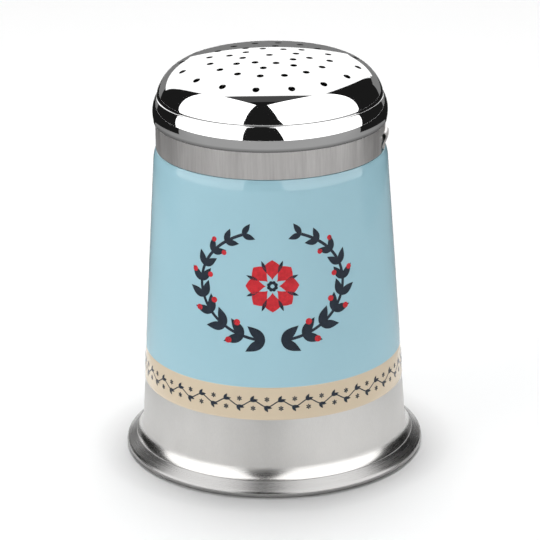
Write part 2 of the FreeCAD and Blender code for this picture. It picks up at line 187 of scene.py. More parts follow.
class ShakerPrint(bpy.types.PropertyGroup):
    """Sizes of the printed garland and of the border on the cream band."""

    proud: length("Proud", "How far the print stands out of the enamel", 0.00004)
    sink: length("Sink", "How far the print reaches into the enamel", 0.00002)
    garland_level: length("Garland level", "Height of the garland's middle", 0.0632)
    garland_width: length("Garland half width", "Half the width of the garland's stems", 0.0215)
    garland_height: length("Garland half height", "Half the height of the garland's stems", 0.0165)
    garland_start: angle("Garland start", "Where the stems begin on their oval", -84.0)
    garland_end: angle("Garland end", "Where the stems end on their oval", 66.0)
    garland_leaves: IntProperty(name="Leaf pairs", description="Leaf pairs on each stem", default=10, min=2)
    leaf_length: length("Leaf length", "Length of the garland's longest leaves", 0.0066)
    leaf_width: length("Leaf width", "Width of the garland's longest leaves", 0.0029)
    leaf_turn: angle("Leaf turn", "Angle between the leaves and their stem", 36.0)
    stem_width: length("Stem width", "Width of the garland's stems", 0.0009)
    berry_reach: length("Berry reach", "Distance of the berries from their stem", 0.0031)
    berry_radius: length("Berry radius", "Radius of the berries", 0.00095)
    blossom_petals: IntProperty(name="Petals", description="Petals of the blossom", default=8, min=3)
    blossom_radius: length("Blossom radius", "Radius of the blossom", 0.0078)
    border_level: length("Border level", "Height of the border's middle", (CREAM_LOW.z + CREAM_HIGH.z) / 2)
    border_repeats: IntProperty(
        name="Border repeats", description="Repeats round the band", default=30, min=4,
    )
    border_leaf: length("Border leaf", "Length of the border's longer leaves", 0.0024)
    border_bract: length("Border bract", "Length of the border's shorter leaves", 0.0021)
    border_leaf_width: length("Border leaf width", "Width of the border's leaves", 0.00095)
    border_star: length("Border star", "Radius of the border's stars", 0.00085)
    border_ray: length("Border ray", "Width of the stars' rays", 0.0004)
    border_stem: length("Border stem", "Width of the border's wavy stem", 0.00036)
    border_wave: length("Border wave", "Half the height of the border's wavy stem", 0.0009)


class ShakerFinish(bpy.types.PropertyGroup):
    """Colours of the finishes."""

    chrome: colour("Chrome", "Polished cap", (0.86, 0.86, 0.86))
    steel: colour("Satin steel", "Body, base and lugs", (0.60, 0.59, 0.575))
    # Painted highlight: the collar's steel is painted much lighter than the body's steel.
    collar: colour("Collar steel", "Brushed collar", (0.90, 0.875, 0.86))
    # Painted shade: the foot's steel is painted much darker than the body's steel.
    foot: colour("Foot steel", "Brushed foot", (0.36, 0.355, 0.35))
    blue: colour("Blue enamel", "Coat on the side", (0.36, 0.585, 0.672))
    cream: colour("Cream enamel", "Band on the side", (0.66, 0.55, 0.40))
    navy: colour("Navy ink", "Leaves, stems and border", (0.0105, 0.0185, 0.032))
    red: colour("Red ink", "Blossom and berries", (0.56, 0.016, 0.026))


def sizes():
    """The sizes of the turned pieces as they stand in the scene."""
    return bpy.context.scene.shaker_sizes


def lid_sizes():
    """The sizes of the lid as they stand in the scene."""
    return bpy.context.scene.shaker_lid


def print_sizes():
    """The sizes of the print as they stand in the scene."""
    return bpy.context.scene.shaker_print


def finish_colours():
    """The colours as they stand in the scene."""
    return bpy.context.scene.shaker_finish


def side_slope():
    """Change of the side's radius for each unit of height."""
    size = sizes()
    return (size.shoulder_radius - size.waist_radius) / (size.shoulder_level - size.waist_level)


def side_radius(level):
    """Radius of the steel side at a height."""
    size = sizes()
    return size.waist_radius + side_slope() * (level - size.waist_level)


def arc(centre, radius, start, end, steps):
    """Points of a circle from one angle to another."""
    points = []
    for step in range(steps + 1):
        turn = start + (end - start) * step / steps
        points.append((centre[0] + radius * math.cos(turn), centre[1] + radius * math.sin(turn)))
    return points


def tangent_arc(start, heading, end, steps):
    """Points of the circle that leaves start along heading and reaches end."""
    size = math.hypot(heading[0], heading[1])
    normal = (-heading[1] / size, heading[0] / size)
    across = (end[0] - start[0], end[1] - start[1])
    reach = (across[0] ** 2 + across[1] ** 2) / (2 * (across[0] * normal[0] + across[1] * normal[1]))
    centre = (start[0] + reach * normal[0], start[1] + reach * normal[1])
    first = math.atan2(start[1] - centre[1], start[0] - centre[0])
    last = math.atan2(end[1] - centre[1], end[0] - centre[0])
    turn = (last - first + math.pi) % (2 * math.pi) - math.pi
    return arc(centre, abs(reach), first, first + turn, steps)


def between(first, second, share):
    """A point on the straight line between two points."""
    return tuple(start + (end - start) * share for start, end in zip(first, second))


def run(start, end, steps):
    """Points of a straight line."""
    return [between(start, end, step / steps) for step in range(steps + 1)]


def chain(*parts):
    """One line of points from several that meet end to end."""
    points = []
    for part in parts:
        for point in part:
            if not points or math.dist(point, points[-1]) > SAME_POINT:
                points.append(point)
    return points


def soften(points, corner, reach, steps=6):
    """The line of points with the corner nearest to a point rounded off."""
    middle = min(range(len(points)), key=lambda index: math.dist(points[index], corner))
    peak = points[middle]
    before = [point for point in points[:middle] if math.dist(point, peak) > reach]
    after = [point for point in points[middle + 1:] if math.dist(point, peak) > reach]
    ends = []
    for near in (points[middle - 1], points[middle + 1]):
        ends.append(between(peak, near, reach / math.dist(near, peak)))
    rounded = []
    for step in range(steps + 1):
        share = step / steps
        rounded.append(between(between(ends[0], peak, share), between(peak, ends[1], share), share))
    return before + rounded + after


def inner_line(points, thickness):
    """The line of points moved to its left by a thickness, with its corners kept."""
    normals = []
    for first, second in zip(points, points[1:]):
        size = math.dist(first, second)
        normals.append(((first[1] - second[1]) / size, (second[0] - first[0]) / size))
    moved = []
    for index, point in enumerate(points):
        before = normals[max(index - 1, 0)]
        after = normals[min(index, len(normals) - 1)]
        total = (before[0] + after[0], before[1] + after[1])
        scale = thickness / max(MITRE_LIMIT, total[0] * before[0] + total[1] * before[1])
        moved.append((max(0.0, point[0] + total[0] * scale), point[1] + total[1] * scale))
    return moved


def sheet_outline(points, thickness):
    """A closed outline: a line of points, and the same line moved inwards by the sheet's thickness."""
    return points + list(reversed(inner_line(points, thickness)))


def add_node(tree, kind, inputs=None, **settings):
    """A node with its settings, its constants and its links."""
    item = tree.nodes.new(kind)
    for key, value in settings.items():
        setattr(item, key, value)
    for key, value in (inputs or {}).items():
        if isinstance(value, bpy.types.NodeSocket):
            tree.links.new(value, item.inputs[key])
        else:
            item.inputs[key].default_value = value
    return item


def calc(tree, operation, first, second=0.0, third=0.0):
    """The result of a Math node."""
    node = add_node(tree, "ShaderNodeMath", {0: first, 1: second, 2: third}, operation=operation)
    return node.outputs[0]


def vector(tree, x=0.0, y=0.0, z=0.0):
    """A vector from its three parts."""
    return add_node(tree, "ShaderNodeCombineXYZ", {0: x, 1: y, 2: z}).outputs[0]


def parts_of(tree, place):
    """The three parts of a vector."""
    return add_node(tree, "ShaderNodeSeparateXYZ", {0: place}).outputs


def on_circle(tree, radius, turn, level):
    """A place round the Z axis."""
    across = calc(tree, "MULTIPLY", radius, calc(tree, "COSINE", turn))
    along = calc(tree, "MULTIPLY", radius, calc(tree, "SINE", turn))
    return vector(tree, across, along, level)


def point_index(tree):
    """The number of each point."""
    return add_node(tree, "GeometryNodeInputIndex").outputs[0]


def line_of(tree, count, offset=(0.0, 0.0, 1.0)):
    """Points in a row."""
    return add_node(tree, "GeometryNodeMeshLine", {"Count": count, "Offset": offset}).outputs[0]


def moved_to(tree, shape, place):
    """A shape with its points moved to their places."""
    return add_node(tree, "GeometryNodeSetPosition", {"Geometry": shape, "Position": place}).outputs[0]


def transformed(tree, shape, how, value):
    """A shape moved, turned or scaled as a whole."""
    return add_node(tree, "GeometryNodeTransform", {"Geometry": shape, how: value}).outputs[0]


def copies_on(tree, points, shape, **settings):
    """Copies of a shape on points."""
    inputs = {"Points": points, "Instance": shape, **settings}
    return add_node(tree, "GeometryNodeInstanceOnPoints", inputs).outputs[0]


def joined(tree, *shapes):
    """Several shapes as one."""
    node = add_node(tree, "GeometryNodeJoinGeometry")
    for shape in shapes:
        tree.links.new(shape, node.inputs[0])
    return node.outputs[0]


def new_tree(name, inputs):
    """A Geometry Nodes tree with named inputs, and its group input and output nodes."""
    tree = bpy.data.node_groups.new(name, "GeometryNodeTree")
    tree.interface.new_socket(name="Geometry", in_out="INPUT", socket_type="NodeSocketGeometry")
    for label, kind in inputs:
        tree.interface.new_socket(name=label, in_out="INPUT", socket_type=kind)
    tree.interface.new_socket(name="Geometry", in_out="OUTPUT", socket_type="NodeSocketGeometry")
    return tree, tree.nodes.new("NodeGroupInput"), tree.nodes.new("NodeGroupOutput")


NUMBER = "NodeSocketFloat"
COUNT = "NodeSocketInt"
FINISH = "NodeSocketMaterial"


def end_tree(tree, source, target, shape):
    """Realizes the instances, sets the material and ends the tree."""
    real = add_node(tree, "GeometryNodeRealizeInstances", {"Geometry": shape})
    smooth = add_node(tree, "GeometryNodeSetShadeSmooth", {"Geometry": real.outputs[0]})
    coat = add_node(
        tree, "GeometryNodeSetMaterial",
        {"Geometry": smooth.outputs[0], "Material": source.outputs["Material"]},
    )
    tree.links.new(coat.outputs[0], target.inputs[0])


def turned_tree():
    """Turns a profile, given as points in the XZ plane, once round the Z axis."""
    tree, source, target = new_tree("Turned sheet", [("Segments", COUNT), ("Material", FINISH)])
    profile = source.outputs["Geometry"]
    steps = source.outputs["Segments"]
    size = add_node(tree, "GeometryNodeAttributeDomainSize", {"Geometry": profile})
    count = size.outputs["Point Count"]
    columns = calc(tree, "ADD", steps, 1.0)
    grid = add_node(tree, "GeometryNodeMeshGrid", {"Vertices X": columns, "Vertices Y": count})
    index = point_index(tree)
    column = calc(tree, "FLOOR", calc(tree, "DIVIDE", index, count))
    row = calc(tree, "SUBTRACT", index, calc(tree, "MULTIPLY", column, count))
    place = add_node(tree, "GeometryNodeInputPosition").outputs[0]
    sample = add_node(
        tree, "GeometryNodeSampleIndex",
        {"Geometry": profile, "Value": place, "Index": row},
        data_type="FLOAT_VECTOR", domain="POINT",
    )
    parts = parts_of(tree, sample.outputs[0])
    turn = calc(tree, "DIVIDE", calc(tree, "MULTIPLY", column, 2 * math.pi), steps)
    moved = moved_to(tree, grid.outputs[0], on_circle(tree, parts[0], turn, parts[2]))
    closed = add_node(tree, "GeometryNodeMergeByDistance", {"Geometry": moved, "Distance": 1e-6})
    end_tree(tree, source, target, closed.outputs[0])
    return tree


def perforated_tree(ring_count):
    """Cuts a hole in the middle and circles of holes round it, all along the Z axis."""
    inputs = [("Hole radius", NUMBER), ("Level", NUMBER), ("Reach", NUMBER), ("Material", FINISH)]
    for ring in range(ring_count):
        for label, kind in (("radius", NUMBER), ("holes", COUNT), ("turn", NUMBER)):
            inputs.append((f"Ring {ring} {label}", kind))
    tree, source, target = new_tree("Perforated dome", inputs)
    given = source.outputs
    punch = add_node(
        tree, "GeometryNodeMeshCylinder",
        {"Vertices": HOLE_STEPS, "Radius": given["Hole radius"], "Depth": given["Reach"]},
    )
    raised = transformed(tree, punch.outputs["Mesh"], "Translation", vector(tree, z=given["Level"]))
    punches = [raised]
    for ring in range(ring_count):
        spots = add_node(
            tree, "GeometryNodeMeshCircle",
            {"Vertices": given[f"Ring {ring} holes"], "Radius": given[f"Ring {ring} radius"]},
        )
        turn = vector(tree, z=given[f"Ring {ring} turn"])
        punches.append(copies_on(tree, transformed(tree, spots.outputs[0], "Rotation", turn), raised))
    real = add_node(tree, "GeometryNodeRealizeInstances", {"Geometry": joined(tree, *punches)})
    cut = add_node(
        tree, "GeometryNodeMeshBoolean",
        {"Mesh 1": given["Geometry"], "Mesh 2": real.outputs[0]},
        operation="DIFFERENCE", solver="EXACT",
    )
    end_tree(tree, source, target, cut.outputs[0])
    return tree


def studs_tree():
    """Sets copies of a stud round the Z axis, at one radius and height."""
    inputs = [("Studs", COUNT), ("Material", FINISH)]
    inputs += [(label, NUMBER) for label in ("Radius", "Level", "Turn", "Spacing")]
    tree, source, target = new_tree("Studs round a neck", inputs)
    given = source.outputs
    turn = calc(tree, "MULTIPLY_ADD", point_index(tree), given["Spacing"], given["Turn"])
    place = on_circle(tree, given["Radius"], turn, given["Level"])
    spots = moved_to(tree, line_of(tree, given["Studs"]), place)
    placed = copies_on(tree, spots, given["Geometry"], Rotation=vector(tree, z=turn))
    end_tree(tree, source, target, placed)
    return tree


WRAP_INPUTS = [("Level", NUMBER), ("Radius", NUMBER), ("Slope", NUMBER), ("Material", FINISH)]


def wrap_on_side(tree, source, shape):
    """Bends a flat shape, drawn in the XZ plane, round the tapered side at its level."""
    given = source.outputs
    real = add_node(tree, "GeometryNodeRealizeInstances", {"Geometry": shape})
    parts = parts_of(tree, add_node(tree, "GeometryNodeInputPosition").outputs[0])
    turn = calc(tree, "DIVIDE", parts[0], given["Radius"])
    radius = calc(tree, "MULTIPLY_ADD", parts[2], given["Slope"], given["Radius"])
    radius = calc(tree, "SUBTRACT", radius, parts[1])
    across = calc(tree, "MULTIPLY", radius, calc(tree, "SINE", turn))
    along = calc(tree, "MULTIPLY", calc(tree, "MULTIPLY", radius, -1.0), calc(tree, "COSINE", turn))
    spot = vector(tree, across, along, calc(tree, "ADD", parts[2], given["Level"]))
    return moved_to(tree, real.outputs[0], spot)


def oval_spot(tree, source, share, side):
    """Place on the garland's oval, and the heading of the stem there, for a share of its length."""
    given = source.outputs
    swing = calc(tree, "SUBTRACT", given["End"], given["Start"])
    turn = calc(tree, "MULTIPLY_ADD", share, swing, given["Start"])
    wide = calc(tree, "MULTIPLY", given["Half width"], calc(tree, "COSINE", turn))
    high = calc(tree, "MULTIPLY", given["Half height"], calc(tree, "SINE", turn))
    forward = calc(tree, "MULTIPLY", given["Half height"], calc(tree, "COSINE", turn))
    aside = calc(tree, "MULTIPLY", given["Half width"], calc(tree, "SINE", turn))
    aim = calc(tree, "ARCTAN2", forward, calc(tree, "MULTIPLY", aside, -1.0))
    return vector(tree, calc(tree, "MULTIPLY", wide, side), z=high), aim


OVAL_INPUTS = [("Half width", NUMBER), ("Half height", NUMBER), ("Start", NUMBER), ("End", NUMBER)]


def spray_tree():
    """Sets copies of a leaf or berry on both edges of two mirrored stems, and wraps them on the side."""
    inputs = OVAL_INPUTS + [("Pairs", COUNT), ("Turn", NUMBER), ("Tip scale", NUMBER)] + WRAP_INPUTS
    tree, source, target = new_tree("Leaf spray", inputs)
    pairs = source.outputs["Pairs"]
    index = point_index(tree)
    station = calc(tree, "FLOOR", calc(tree, "DIVIDE", index, 4.0))
    share = calc(tree, "DIVIDE", station, calc(tree, "SUBTRACT", pairs, 1.0))
    side = calc(tree, "MULTIPLY_ADD", calc(tree, "MODULO", index, 2.0), -2.0, 1.0)
    half = calc(tree, "FLOOR", calc(tree, "DIVIDE", index, 2.0))
    edge = calc(tree, "MULTIPLY_ADD", calc(tree, "MODULO", half, 2.0), -2.0, 1.0)
    place, aim = oval_spot(tree, source, share, side)
    spots = moved_to(tree, line_of(tree, calc(tree, "MULTIPLY", pairs, 4.0)), place)
    lean = calc(tree, "MULTIPLY_ADD", edge, source.outputs["Turn"], aim)
    lean = calc(tree, "SUBTRACT", lean, math.pi / 2)
    lean = calc(tree, "MULTIPLY_ADD", lean, side, math.pi / 2)
    facing = vector(tree, y=calc(tree, "MULTIPLY", lean, -1.0))
    shrink = calc(tree, "SUBTRACT", source.outputs["Tip scale"], 1.0)
    scale = calc(tree, "MULTIPLY_ADD", share, shrink, 1.0)
    shape = vector(tree, scale, 1.0, scale)
    placed = copies_on(tree, spots, source.outputs["Geometry"], Rotation=facing, Scale=shape)
    end_tree(tree, source, target, wrap_on_side(tree, source, placed))
    return tree


def flat_tube(tree, line, width, proud):
    """A flat-lying strip, thin like ink, along a line of points."""
    path = add_node(tree, "GeometryNodeMeshToCurve", {"Mesh": line})
    half = calc(tree, "MULTIPLY", width, 0.5)
    ring = add_node(tree, "GeometryNodeCurvePrimitiveCircle", {"Resolution": 8, "Radius": half})
    tube = add_node(tree, "GeometryNodeCurveToMesh", {
        "Curve": path.outputs[0], "Profile Curve": ring.outputs[0], "Fill Caps": True,
    })
    thin = calc(tree, "DIVIDE", calc(tree, "MULTIPLY", proud, 2.0), width)
    return transformed(tree, tube.outputs[0], "Scale", vector(tree, 1.0, thin, 1.0))


def stems_tree():
    """Draws the garland's two mirrored stems and wraps them on the side."""
    inputs = OVAL_INPUTS + [("Width", NUMBER), ("Proud", NUMBER)] + WRAP_INPUTS
    tree, source, target = new_tree("Garland stems", inputs)
    given = source.outputs
    strips = [given["Geometry"]]
    for side in (1.0, -1.0):
        share = calc(tree, "DIVIDE", point_index(tree), STEM_STEPS)
        place = oval_spot(tree, source, share, side)[0]
        line = moved_to(tree, line_of(tree, STEM_STEPS + 1), place)
        strips.append(flat_tube(tree, line, given["Width"], given["Proud"]))
    end_tree(tree, source, target, wrap_on_side(tree, source, joined(tree, *strips)))
    return tree


def blossom_tree():
    """Sets petals round a middle and wraps the blossom on the side."""
    inputs = [("Petals", COUNT), ("Turn", NUMBER)] + WRAP_INPUTS
    tree, source, target = new_tree("Blossom", inputs)
    petals = source.outputs["Petals"]
    share = calc(tree, "DIVIDE", point_index(tree), petals)
    turn = calc(tree, "MULTIPLY_ADD", share, 2 * math.pi, source.outputs["Turn"])
    middle = line_of(tree, petals, (0.0, 0.0, 0.0))
    placed = copies_on(tree, middle, source.outputs["Geometry"], Rotation=vector(tree, y=turn))
    end_tree(tree, source, target, wrap_on_side(tree, source, placed))
    return tree


def border_tree():
    """Repeats a motif along a wavy stem that runs once round the side."""
    inputs = [("Repeats", COUNT), ("Wave", NUMBER), ("Width", NUMBER), ("Proud", NUMBER)] + WRAP_INPUTS
    tree, source, target = new_tree("Running border", inputs)
    given = source.outputs
    girth = calc(tree, "MULTIPLY", given["Radius"], 2 * math.pi)
    pitch = calc(tree, "DIVIDE", girth, given["Repeats"])
    index = point_index(tree)
    place = vector(tree, calc(tree, "MULTIPLY", index, pitch))
    spots = moved_to(tree, line_of(tree, given["Repeats"]), place)
    motifs = copies_on(tree, spots, given["Geometry"])
    steps = calc(tree, "MULTIPLY", given["Repeats"], WAVE_STEPS)
    share = calc(tree, "DIVIDE", index, WAVE_STEPS)
    swing = calc(tree, "SINE", calc(tree, "MULTIPLY", share, 2 * math.pi))
    height = calc(tree, "MULTIPLY", swing, given["Wave"])
    wavy = vector(tree, calc(tree, "MULTIPLY", share, pitch), z=height)
    line = moved_to(tree, line_of(tree, calc(tree, "ADD", steps, 1.0)), wavy)
    strip = flat_tube(tree, line, given["Width"], given["Proud"])
    end_tree(tree, source, target, wrap_on_side(tree, source, joined(tree, motifs, strip)))
    return tree


def named_tree(name, maker, *values):
    """The tree of that name, made on its first use."""
    return bpy.data.node_groups.get(name) or maker(*values)


def new_piece(name, mesh):
    """A new object at the origin."""
    piece = bpy.data.objects.new(name, mesh)
    bpy.context.scene.collection.objects.link(piece)
    return piece


def grow(piece, tree, values):
    """Gives a piece a tree, with its inputs set by their identifiers."""
    modifier = piece.modifiers.new(tree.name, "NODES")
    modifier.node_group = tree
    known = {}
    for item in tree.interface.items_tree:
        if item.item_type == "SOCKET" and item.in_out == "INPUT":
            known[item.name] = item.identifier
    for label, value in values.items():
        modifier[known[label]] = value


def settle(piece):
    """Makes the grown shape the piece's own plain mesh."""
    bpy.context.view_layer.update()
    grown = piece.evaluated_get(bpy.context.evaluated_depsgraph_get())
    mesh = bpy.data.meshes.new_from_object(grown)
    if not mesh.polygons:
        raise RuntimeError(piece.name + " came out empty")
    piece.modifiers.clear()
    old = piece.data
    piece.data = mesh
    mesh.name = piece.name
    bpy.data.meshes.remove(old)
    mesh.set_sharp_from_angle(angle=SHARP_ANGLE)
    return piece


def points_mesh(name, outline):
    """A mesh of loose points in the XZ plane."""
    mesh = bpy.data.meshes.new(name)
    mesh.from_pydata([(radius, 0.0, level) for radius, level in outline], [], [])
    return mesh


def turned_piece(name, outline, finish):
    """A piece turned once round the Z axis from its closed outline."""
    piece = new_piece(name, points_mesh(name, outline))
    tree = named_tree("Turned sheet", turned_tree)
    grow(piece, tree, {"Segments": sizes().segments, "Material": finish})
    return piece


def freed_mesh(name, shape):
    """The mesh of a shape, which is freed."""
    mesh = bpy.data.meshes.new(name)
    shape.to_mesh(mesh)
    shape.free()
    return mesh


def ink_shape(name, rows, ink):
    """A thin closed shape from rows of points in the XZ plane, with as many points in every row."""
    shape = bmesh.new()
    layers = []
    for depth in (-ink.proud, ink.sink):
        layers.append([[shape.verts.new((x, depth, z)) for x, z in row] for row in rows])
    front, back = layers
    last = len(rows[0]) - 1
    for first, second, low, high in zip(front, front[1:], back, back[1:]):
        for step in range(last):
            shape.faces.new((first[step], first[step + 1], second[step + 1], second[step]))
            shape.faces.new((low[step], high[step], high[step + 1], low[step + 1]))
        shape.faces.new((first[0], second[0], high[0], low[0]))
        shape.faces.new((first[last], low[last], high[last], second[last]))
    bmesh.ops.remove_doubles(shape, verts=shape.verts[:], dist=1e-6)
    bmesh.ops.dissolve_degenerate(shape, edges=shape.edges[:], dist=1e-7)
    if any(edge.is_boundary for edge in shape.edges):
        raise RuntimeError(name + " is not closed")
    bmesh.ops.recalc_face_normals(shape, faces=shape.faces[:])
    return freed_mesh(name, shape)


def leaf_rows(reach, width, fullest=0.42, steps=10, start=0.0, across=2):
    """Rows of a pointed leaf that grows along +X."""
    rows = []
    for step in range(steps + 1):
        share = step / steps
        bend = share ** (math.log(0.5) / math.log(fullest))
        half = width / 2 * math.sin(math.pi * bend)
        rows.append([
            (start + reach * share, half * (1 - 2 * column / across)) for column in range(across + 1)
        ])
    return rows


def disc_rows(centre, radius, steps=10, across=4):
    """Rows of a round spot."""
    rows = []
    for step in range(steps + 1):
        turn = math.pi * step / steps
        half = radius * math.sin(turn)
        rows.append([
            (centre[0] - radius * math.cos(turn), centre[1] + half * (1 - 2 * column / across))
            for column in range(across + 1)
        ])
    return rows


def turn_rows(rows, turn, shift):
    """Rows turned about the origin and then moved, in the XZ plane."""
    along, aside = math.cos(turn), math.sin(turn)
    return [
        [(x * along - z * aside + shift[0], x * aside + z * along + shift[1]) for x, z in row]
        for row in rows
    ]


def join_meshes(name, meshes):
    """One mesh from several."""
    shape = bmesh.new()
    for mesh in meshes:
        shape.from_mesh(mesh)
        bpy.data.meshes.remove(mesh)
    return freed_mesh(name, shape)


def new_finish(name):
    """A new material, and its node tree and Principled shader."""
    finish = bpy.data.materials.new(name)
    finish.use_nodes = True
    tree = finish.node_tree
    shader = next(node for node in tree.nodes if node.type == "BSDF_PRINCIPLED")
    return finish, tree, shader


def own_place(tree):
    """Object coordinates."""
    return add_node(tree, "ShaderNodeTexCoord").outputs["Object"]


def map_range(tree, value, low, high, first, last):
    """A number that goes from one value to another while a value goes from low to high."""
    node = add_node(tree, "ShaderNodeMapRange", {
        "Value": value, "From Min": low, "From Max": high, "To Min": first, "To Max": last,
    })
    return node.outputs[0]


def grain(tree, stretch, detail=3.0, roughness=0.55):
    """Noise on Object coordinates, finer along an axis where its stretch is larger."""
    spread = add_node(tree, "ShaderNodeMapping", {"Vector": own_place(tree), "Scale": stretch})
    noise = add_node(
        tree, "ShaderNodeTexNoise",
        {"Vector": spread.outputs[0], "Scale": 1.0, "Detail": detail, "Roughness": roughness},
    )
    return noise.outputs["Fac"]


def tone(tree, value, low, high):
    """Turns noise into a number between two limits."""
    return map_range(tree, value, *NOISE_RANGE, low, high)


def shade(tree, value, dark, light):
    """Turns noise into a colour between two colours."""
    ramp = add_node(tree, "ShaderNodeValToRGB", {"Fac": value})
    for element, position, tint in zip(ramp.color_ramp.elements, RAMP_RANGE, (dark, light)):
        element.position = position
        element.color = (*tint, 1.0)
    return ramp.outputs[0]


def relief(tree, shader, value, strength, distance):
    """Gives a shader a fine relief."""
    bump = add_node(
        tree, "ShaderNodeBump",
        {"Height": value, "Strength": strength, "Distance": distance},
    )
    tree.links.new(bump.outputs[0], shader.inputs["Normal"])


def level_range(tree, low, high, first, last):
    """A number that goes from one value to another between two heights."""
    return map_range(tree, parts_of(tree, own_place(tree))[2], low, high, first, last)


def reach_range(tree, near, far, first, last):
    """A number that goes from one value to another between two distances from the origin."""
    reach = add_node(tree, "ShaderNodeVectorMath", {0: own_place(tree)}, operation="LENGTH")
    return map_range(tree, reach.outputs["Value"], near, far, first, last)


def scaled(tint, share):
    """A colour made darker or lighter."""
    return tuple(min(1.0, part * share) for part in tint)


def chrome_finish(tint):
    """Polished chrome with faint wiping marks, with painted shade darkening the lip's lower edge."""
    finish, tree, shader = new_finish("polished_chrome")
    wiped = grain(tree, (60.0, 60.0, 140.0), detail=4.0)
    polished = shade(tree, wiped, scaled(tint, 0.97), scaled(tint, 1.02))
    # Painted shade: the base colour darkens towards the lip's lower edge.
    painted_lip_shade = level_range(tree, CAP_LOW.z, CAP_LOW.z + lid_sizes().lip_shade_height, 0.3, 1.0)
    edged = add_node(tree, "ShaderNodeVectorMath", {0: polished, "Scale": painted_lip_shade}, operation="SCALE")
    tree.links.new(edged.outputs[0], shader.inputs["Base Color"])
    tree.links.new(tone(tree, wiped, 0.018, 0.045), shader.inputs["Roughness"])
    shader.inputs["Metallic"].default_value = 1.0
    return finish


def brushed_finish(name, tint, rough, contrast, stretch, bands=0.6, spread=0.0):
    """Brushed steel with fine streaks and broader bands, its reflections spread round the Z axis."""
    finish, tree, shader = new_finish(name)
    fine = grain(tree, stretch, detail=3.0, roughness=0.7)
    broad = grain(tree, (stretch[0] * bands, stretch[1] * bands, stretch[2] * 0.12), detail=2.0)
    both = calc(tree, "MULTIPLY_ADD", broad, 0.45, calc(tree, "MULTIPLY", fine, 0.55))
    streaks = shade(tree, both, scaled(tint, 1.0 - contrast), scaled(tint, 1.0 + contrast))
    tree.links.new(streaks, shader.inputs["Base Color"])
    tree.links.new(tone(tree, both, rough * 0.85, rough * 1.2), shader.inputs["Roughness"])
    relief(tree, shader, fine, strength=0.12, distance=0.00004)
    round_axis = add_node(tree, "ShaderNodeTangent", direction_type="RADIAL", axis="Z")
    tree.links.new(round_axis.outputs[0], shader.inputs["Tangent"])
    shader.inputs["Anisotropic"].default_value = spread
    shader.inputs["Metallic"].default_value = 1.0
    return finish


def shell_finish(tint):
    """Satin steel on the side, polished on the flare below it."""
    finish, tree, shader = new_finish("satin_steel")
    size = sizes()
    fine = grain(tree, (5200.0, 5200.0, 900.0), detail=2.0, roughness=0.6)
    cloudy = grain(tree, (70.0, 70.0, 30.0), detail=3.0)
    both = calc(tree, "MULTIPLY_ADD", cloudy, 0.6, calc(tree, "MULTIPLY", fine, 0.4))
    clouds = shade(tree, both, scaled(tint, 0.93), scaled(tint, 1.06))
    tree.links.new(clouds, shader.inputs["Base Color"])
    waist = size.waist_level
    polish = level_range(tree, waist - size.polish_full, waist - size.polish_start, 0.2, 0.42)
    worn = tone(tree, both, -0.02, 0.03)
    tree.links.new(calc(tree, "ADD", polish, worn), shader.inputs["Roughness"])
    relief(tree, shader, fine, strength=0.06, distance=0.00002)
    shader.inputs["Metallic"].default_value = 1.0
    return finish


def enamel_finish(name, tint):
    """Glossy enamel with a slight unevenness."""
    finish, tree, shader = new_finish(name)
    cloudy = grain(tree, (22.0, 22.0, 16.0), detail=2.0)
    clouds = shade(tree, cloudy, scaled(tint, 0.975), scaled(tint, 1.02))
    tree.links.new(clouds, shader.inputs["Base Color"])
    peel = grain(tree, (420.0, 420.0, 420.0), detail=1.0)
    tree.links.new(tone(tree, peel, 0.03, 0.06), shader.inputs["Roughness"])
    relief(tree, shader, peel, strength=0.02, distance=0.00005)
    shader.inputs["IOR"].default_value = 1.6
    return finish


def ink_finish(name, tint):
    """Printed ink, a little uneven under the gloss."""
    finish, tree, shader = new_finish(name)
    cloudy = grain(tree, (900.0, 900.0, 900.0), detail=2.0)
    clouds = shade(tree, cloudy, scaled(tint, 0.85), scaled(tint, 1.15))
    tree.links.new(clouds, shader.inputs["Base Color"])
    tree.links.new(tone(tree, cloudy, 0.16, 0.26), shader.inputs["Roughness"])
    return finish


def shoulder_line():
    """The steel's line from the start of the shoulder over the ledge under the collar to the neck."""
    size = sizes()
    level = size.shoulder_level - size.shoulder_bend
    ledge = (size.ledge_radius, size.neck_level - size.enamel_gap - size.enamel_coat)
    return chain(
        tangent_arc((side_radius(level), level), (side_slope(), 1.0), ledge, 16),
        run(ledge, (size.neck_radius, ledge[1]), 4),
    )


def shell_line():
    """The body's outer line from its hem to its mouth."""
    size = sizes()
    waist = (size.waist_radius, size.waist_level)
    flare = tangent_arc(waist, (-side_slope(), -1.0), (size.hem_radius, SHELL_LOW.z), 18)
    shoulder = shoulder_line()
    return chain(
        reversed(flare),
        run(waist, shoulder[0], 40),
        shoulder,
        run(shoulder[-1], (size.neck_radius, SHELL_HIGH.z), 10),
    )


def coat_outline(low, high):
    """Closed outline of an enamel coat between two heights, with soft edges."""
    size = sizes()
    lean = 1 / math.hypot(1.0, side_slope())
    outside, inside = [], []
    for radius, level in run((side_radius(low), low), (side_radius(high), high), COAT_STEPS):
        near = min(level - low, high - level)
        drop = size.enamel_coat * COAT_EDGE_DROP * max(0.0, 1 - near / size.enamel_edge) ** 2
        outside.append((radius + size.enamel_gap + size.enamel_coat - drop * lean, level))
        inside.append((radius + size.enamel_gap, level))
    return outside + list(reversed(inside)) + outside[:1]


class SHAKER_OT_body(bpy.types.Operator):
    """Turn the steel body, with its flare, shoulder and neck"""

    bl_idname = "shaker.body"
    bl_label = "Steel Body"

    def execute(self, context):
        outline = sheet_outline(shell_line(), sizes().shell_sheet)
        finish = shell_finish(finish_colours().steel)
        piece = settle(turned_piece("steel_body", outline + outline[:1], finish))
        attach(piece, "body")
        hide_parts("body_shell")
        return {"FINISHED"}


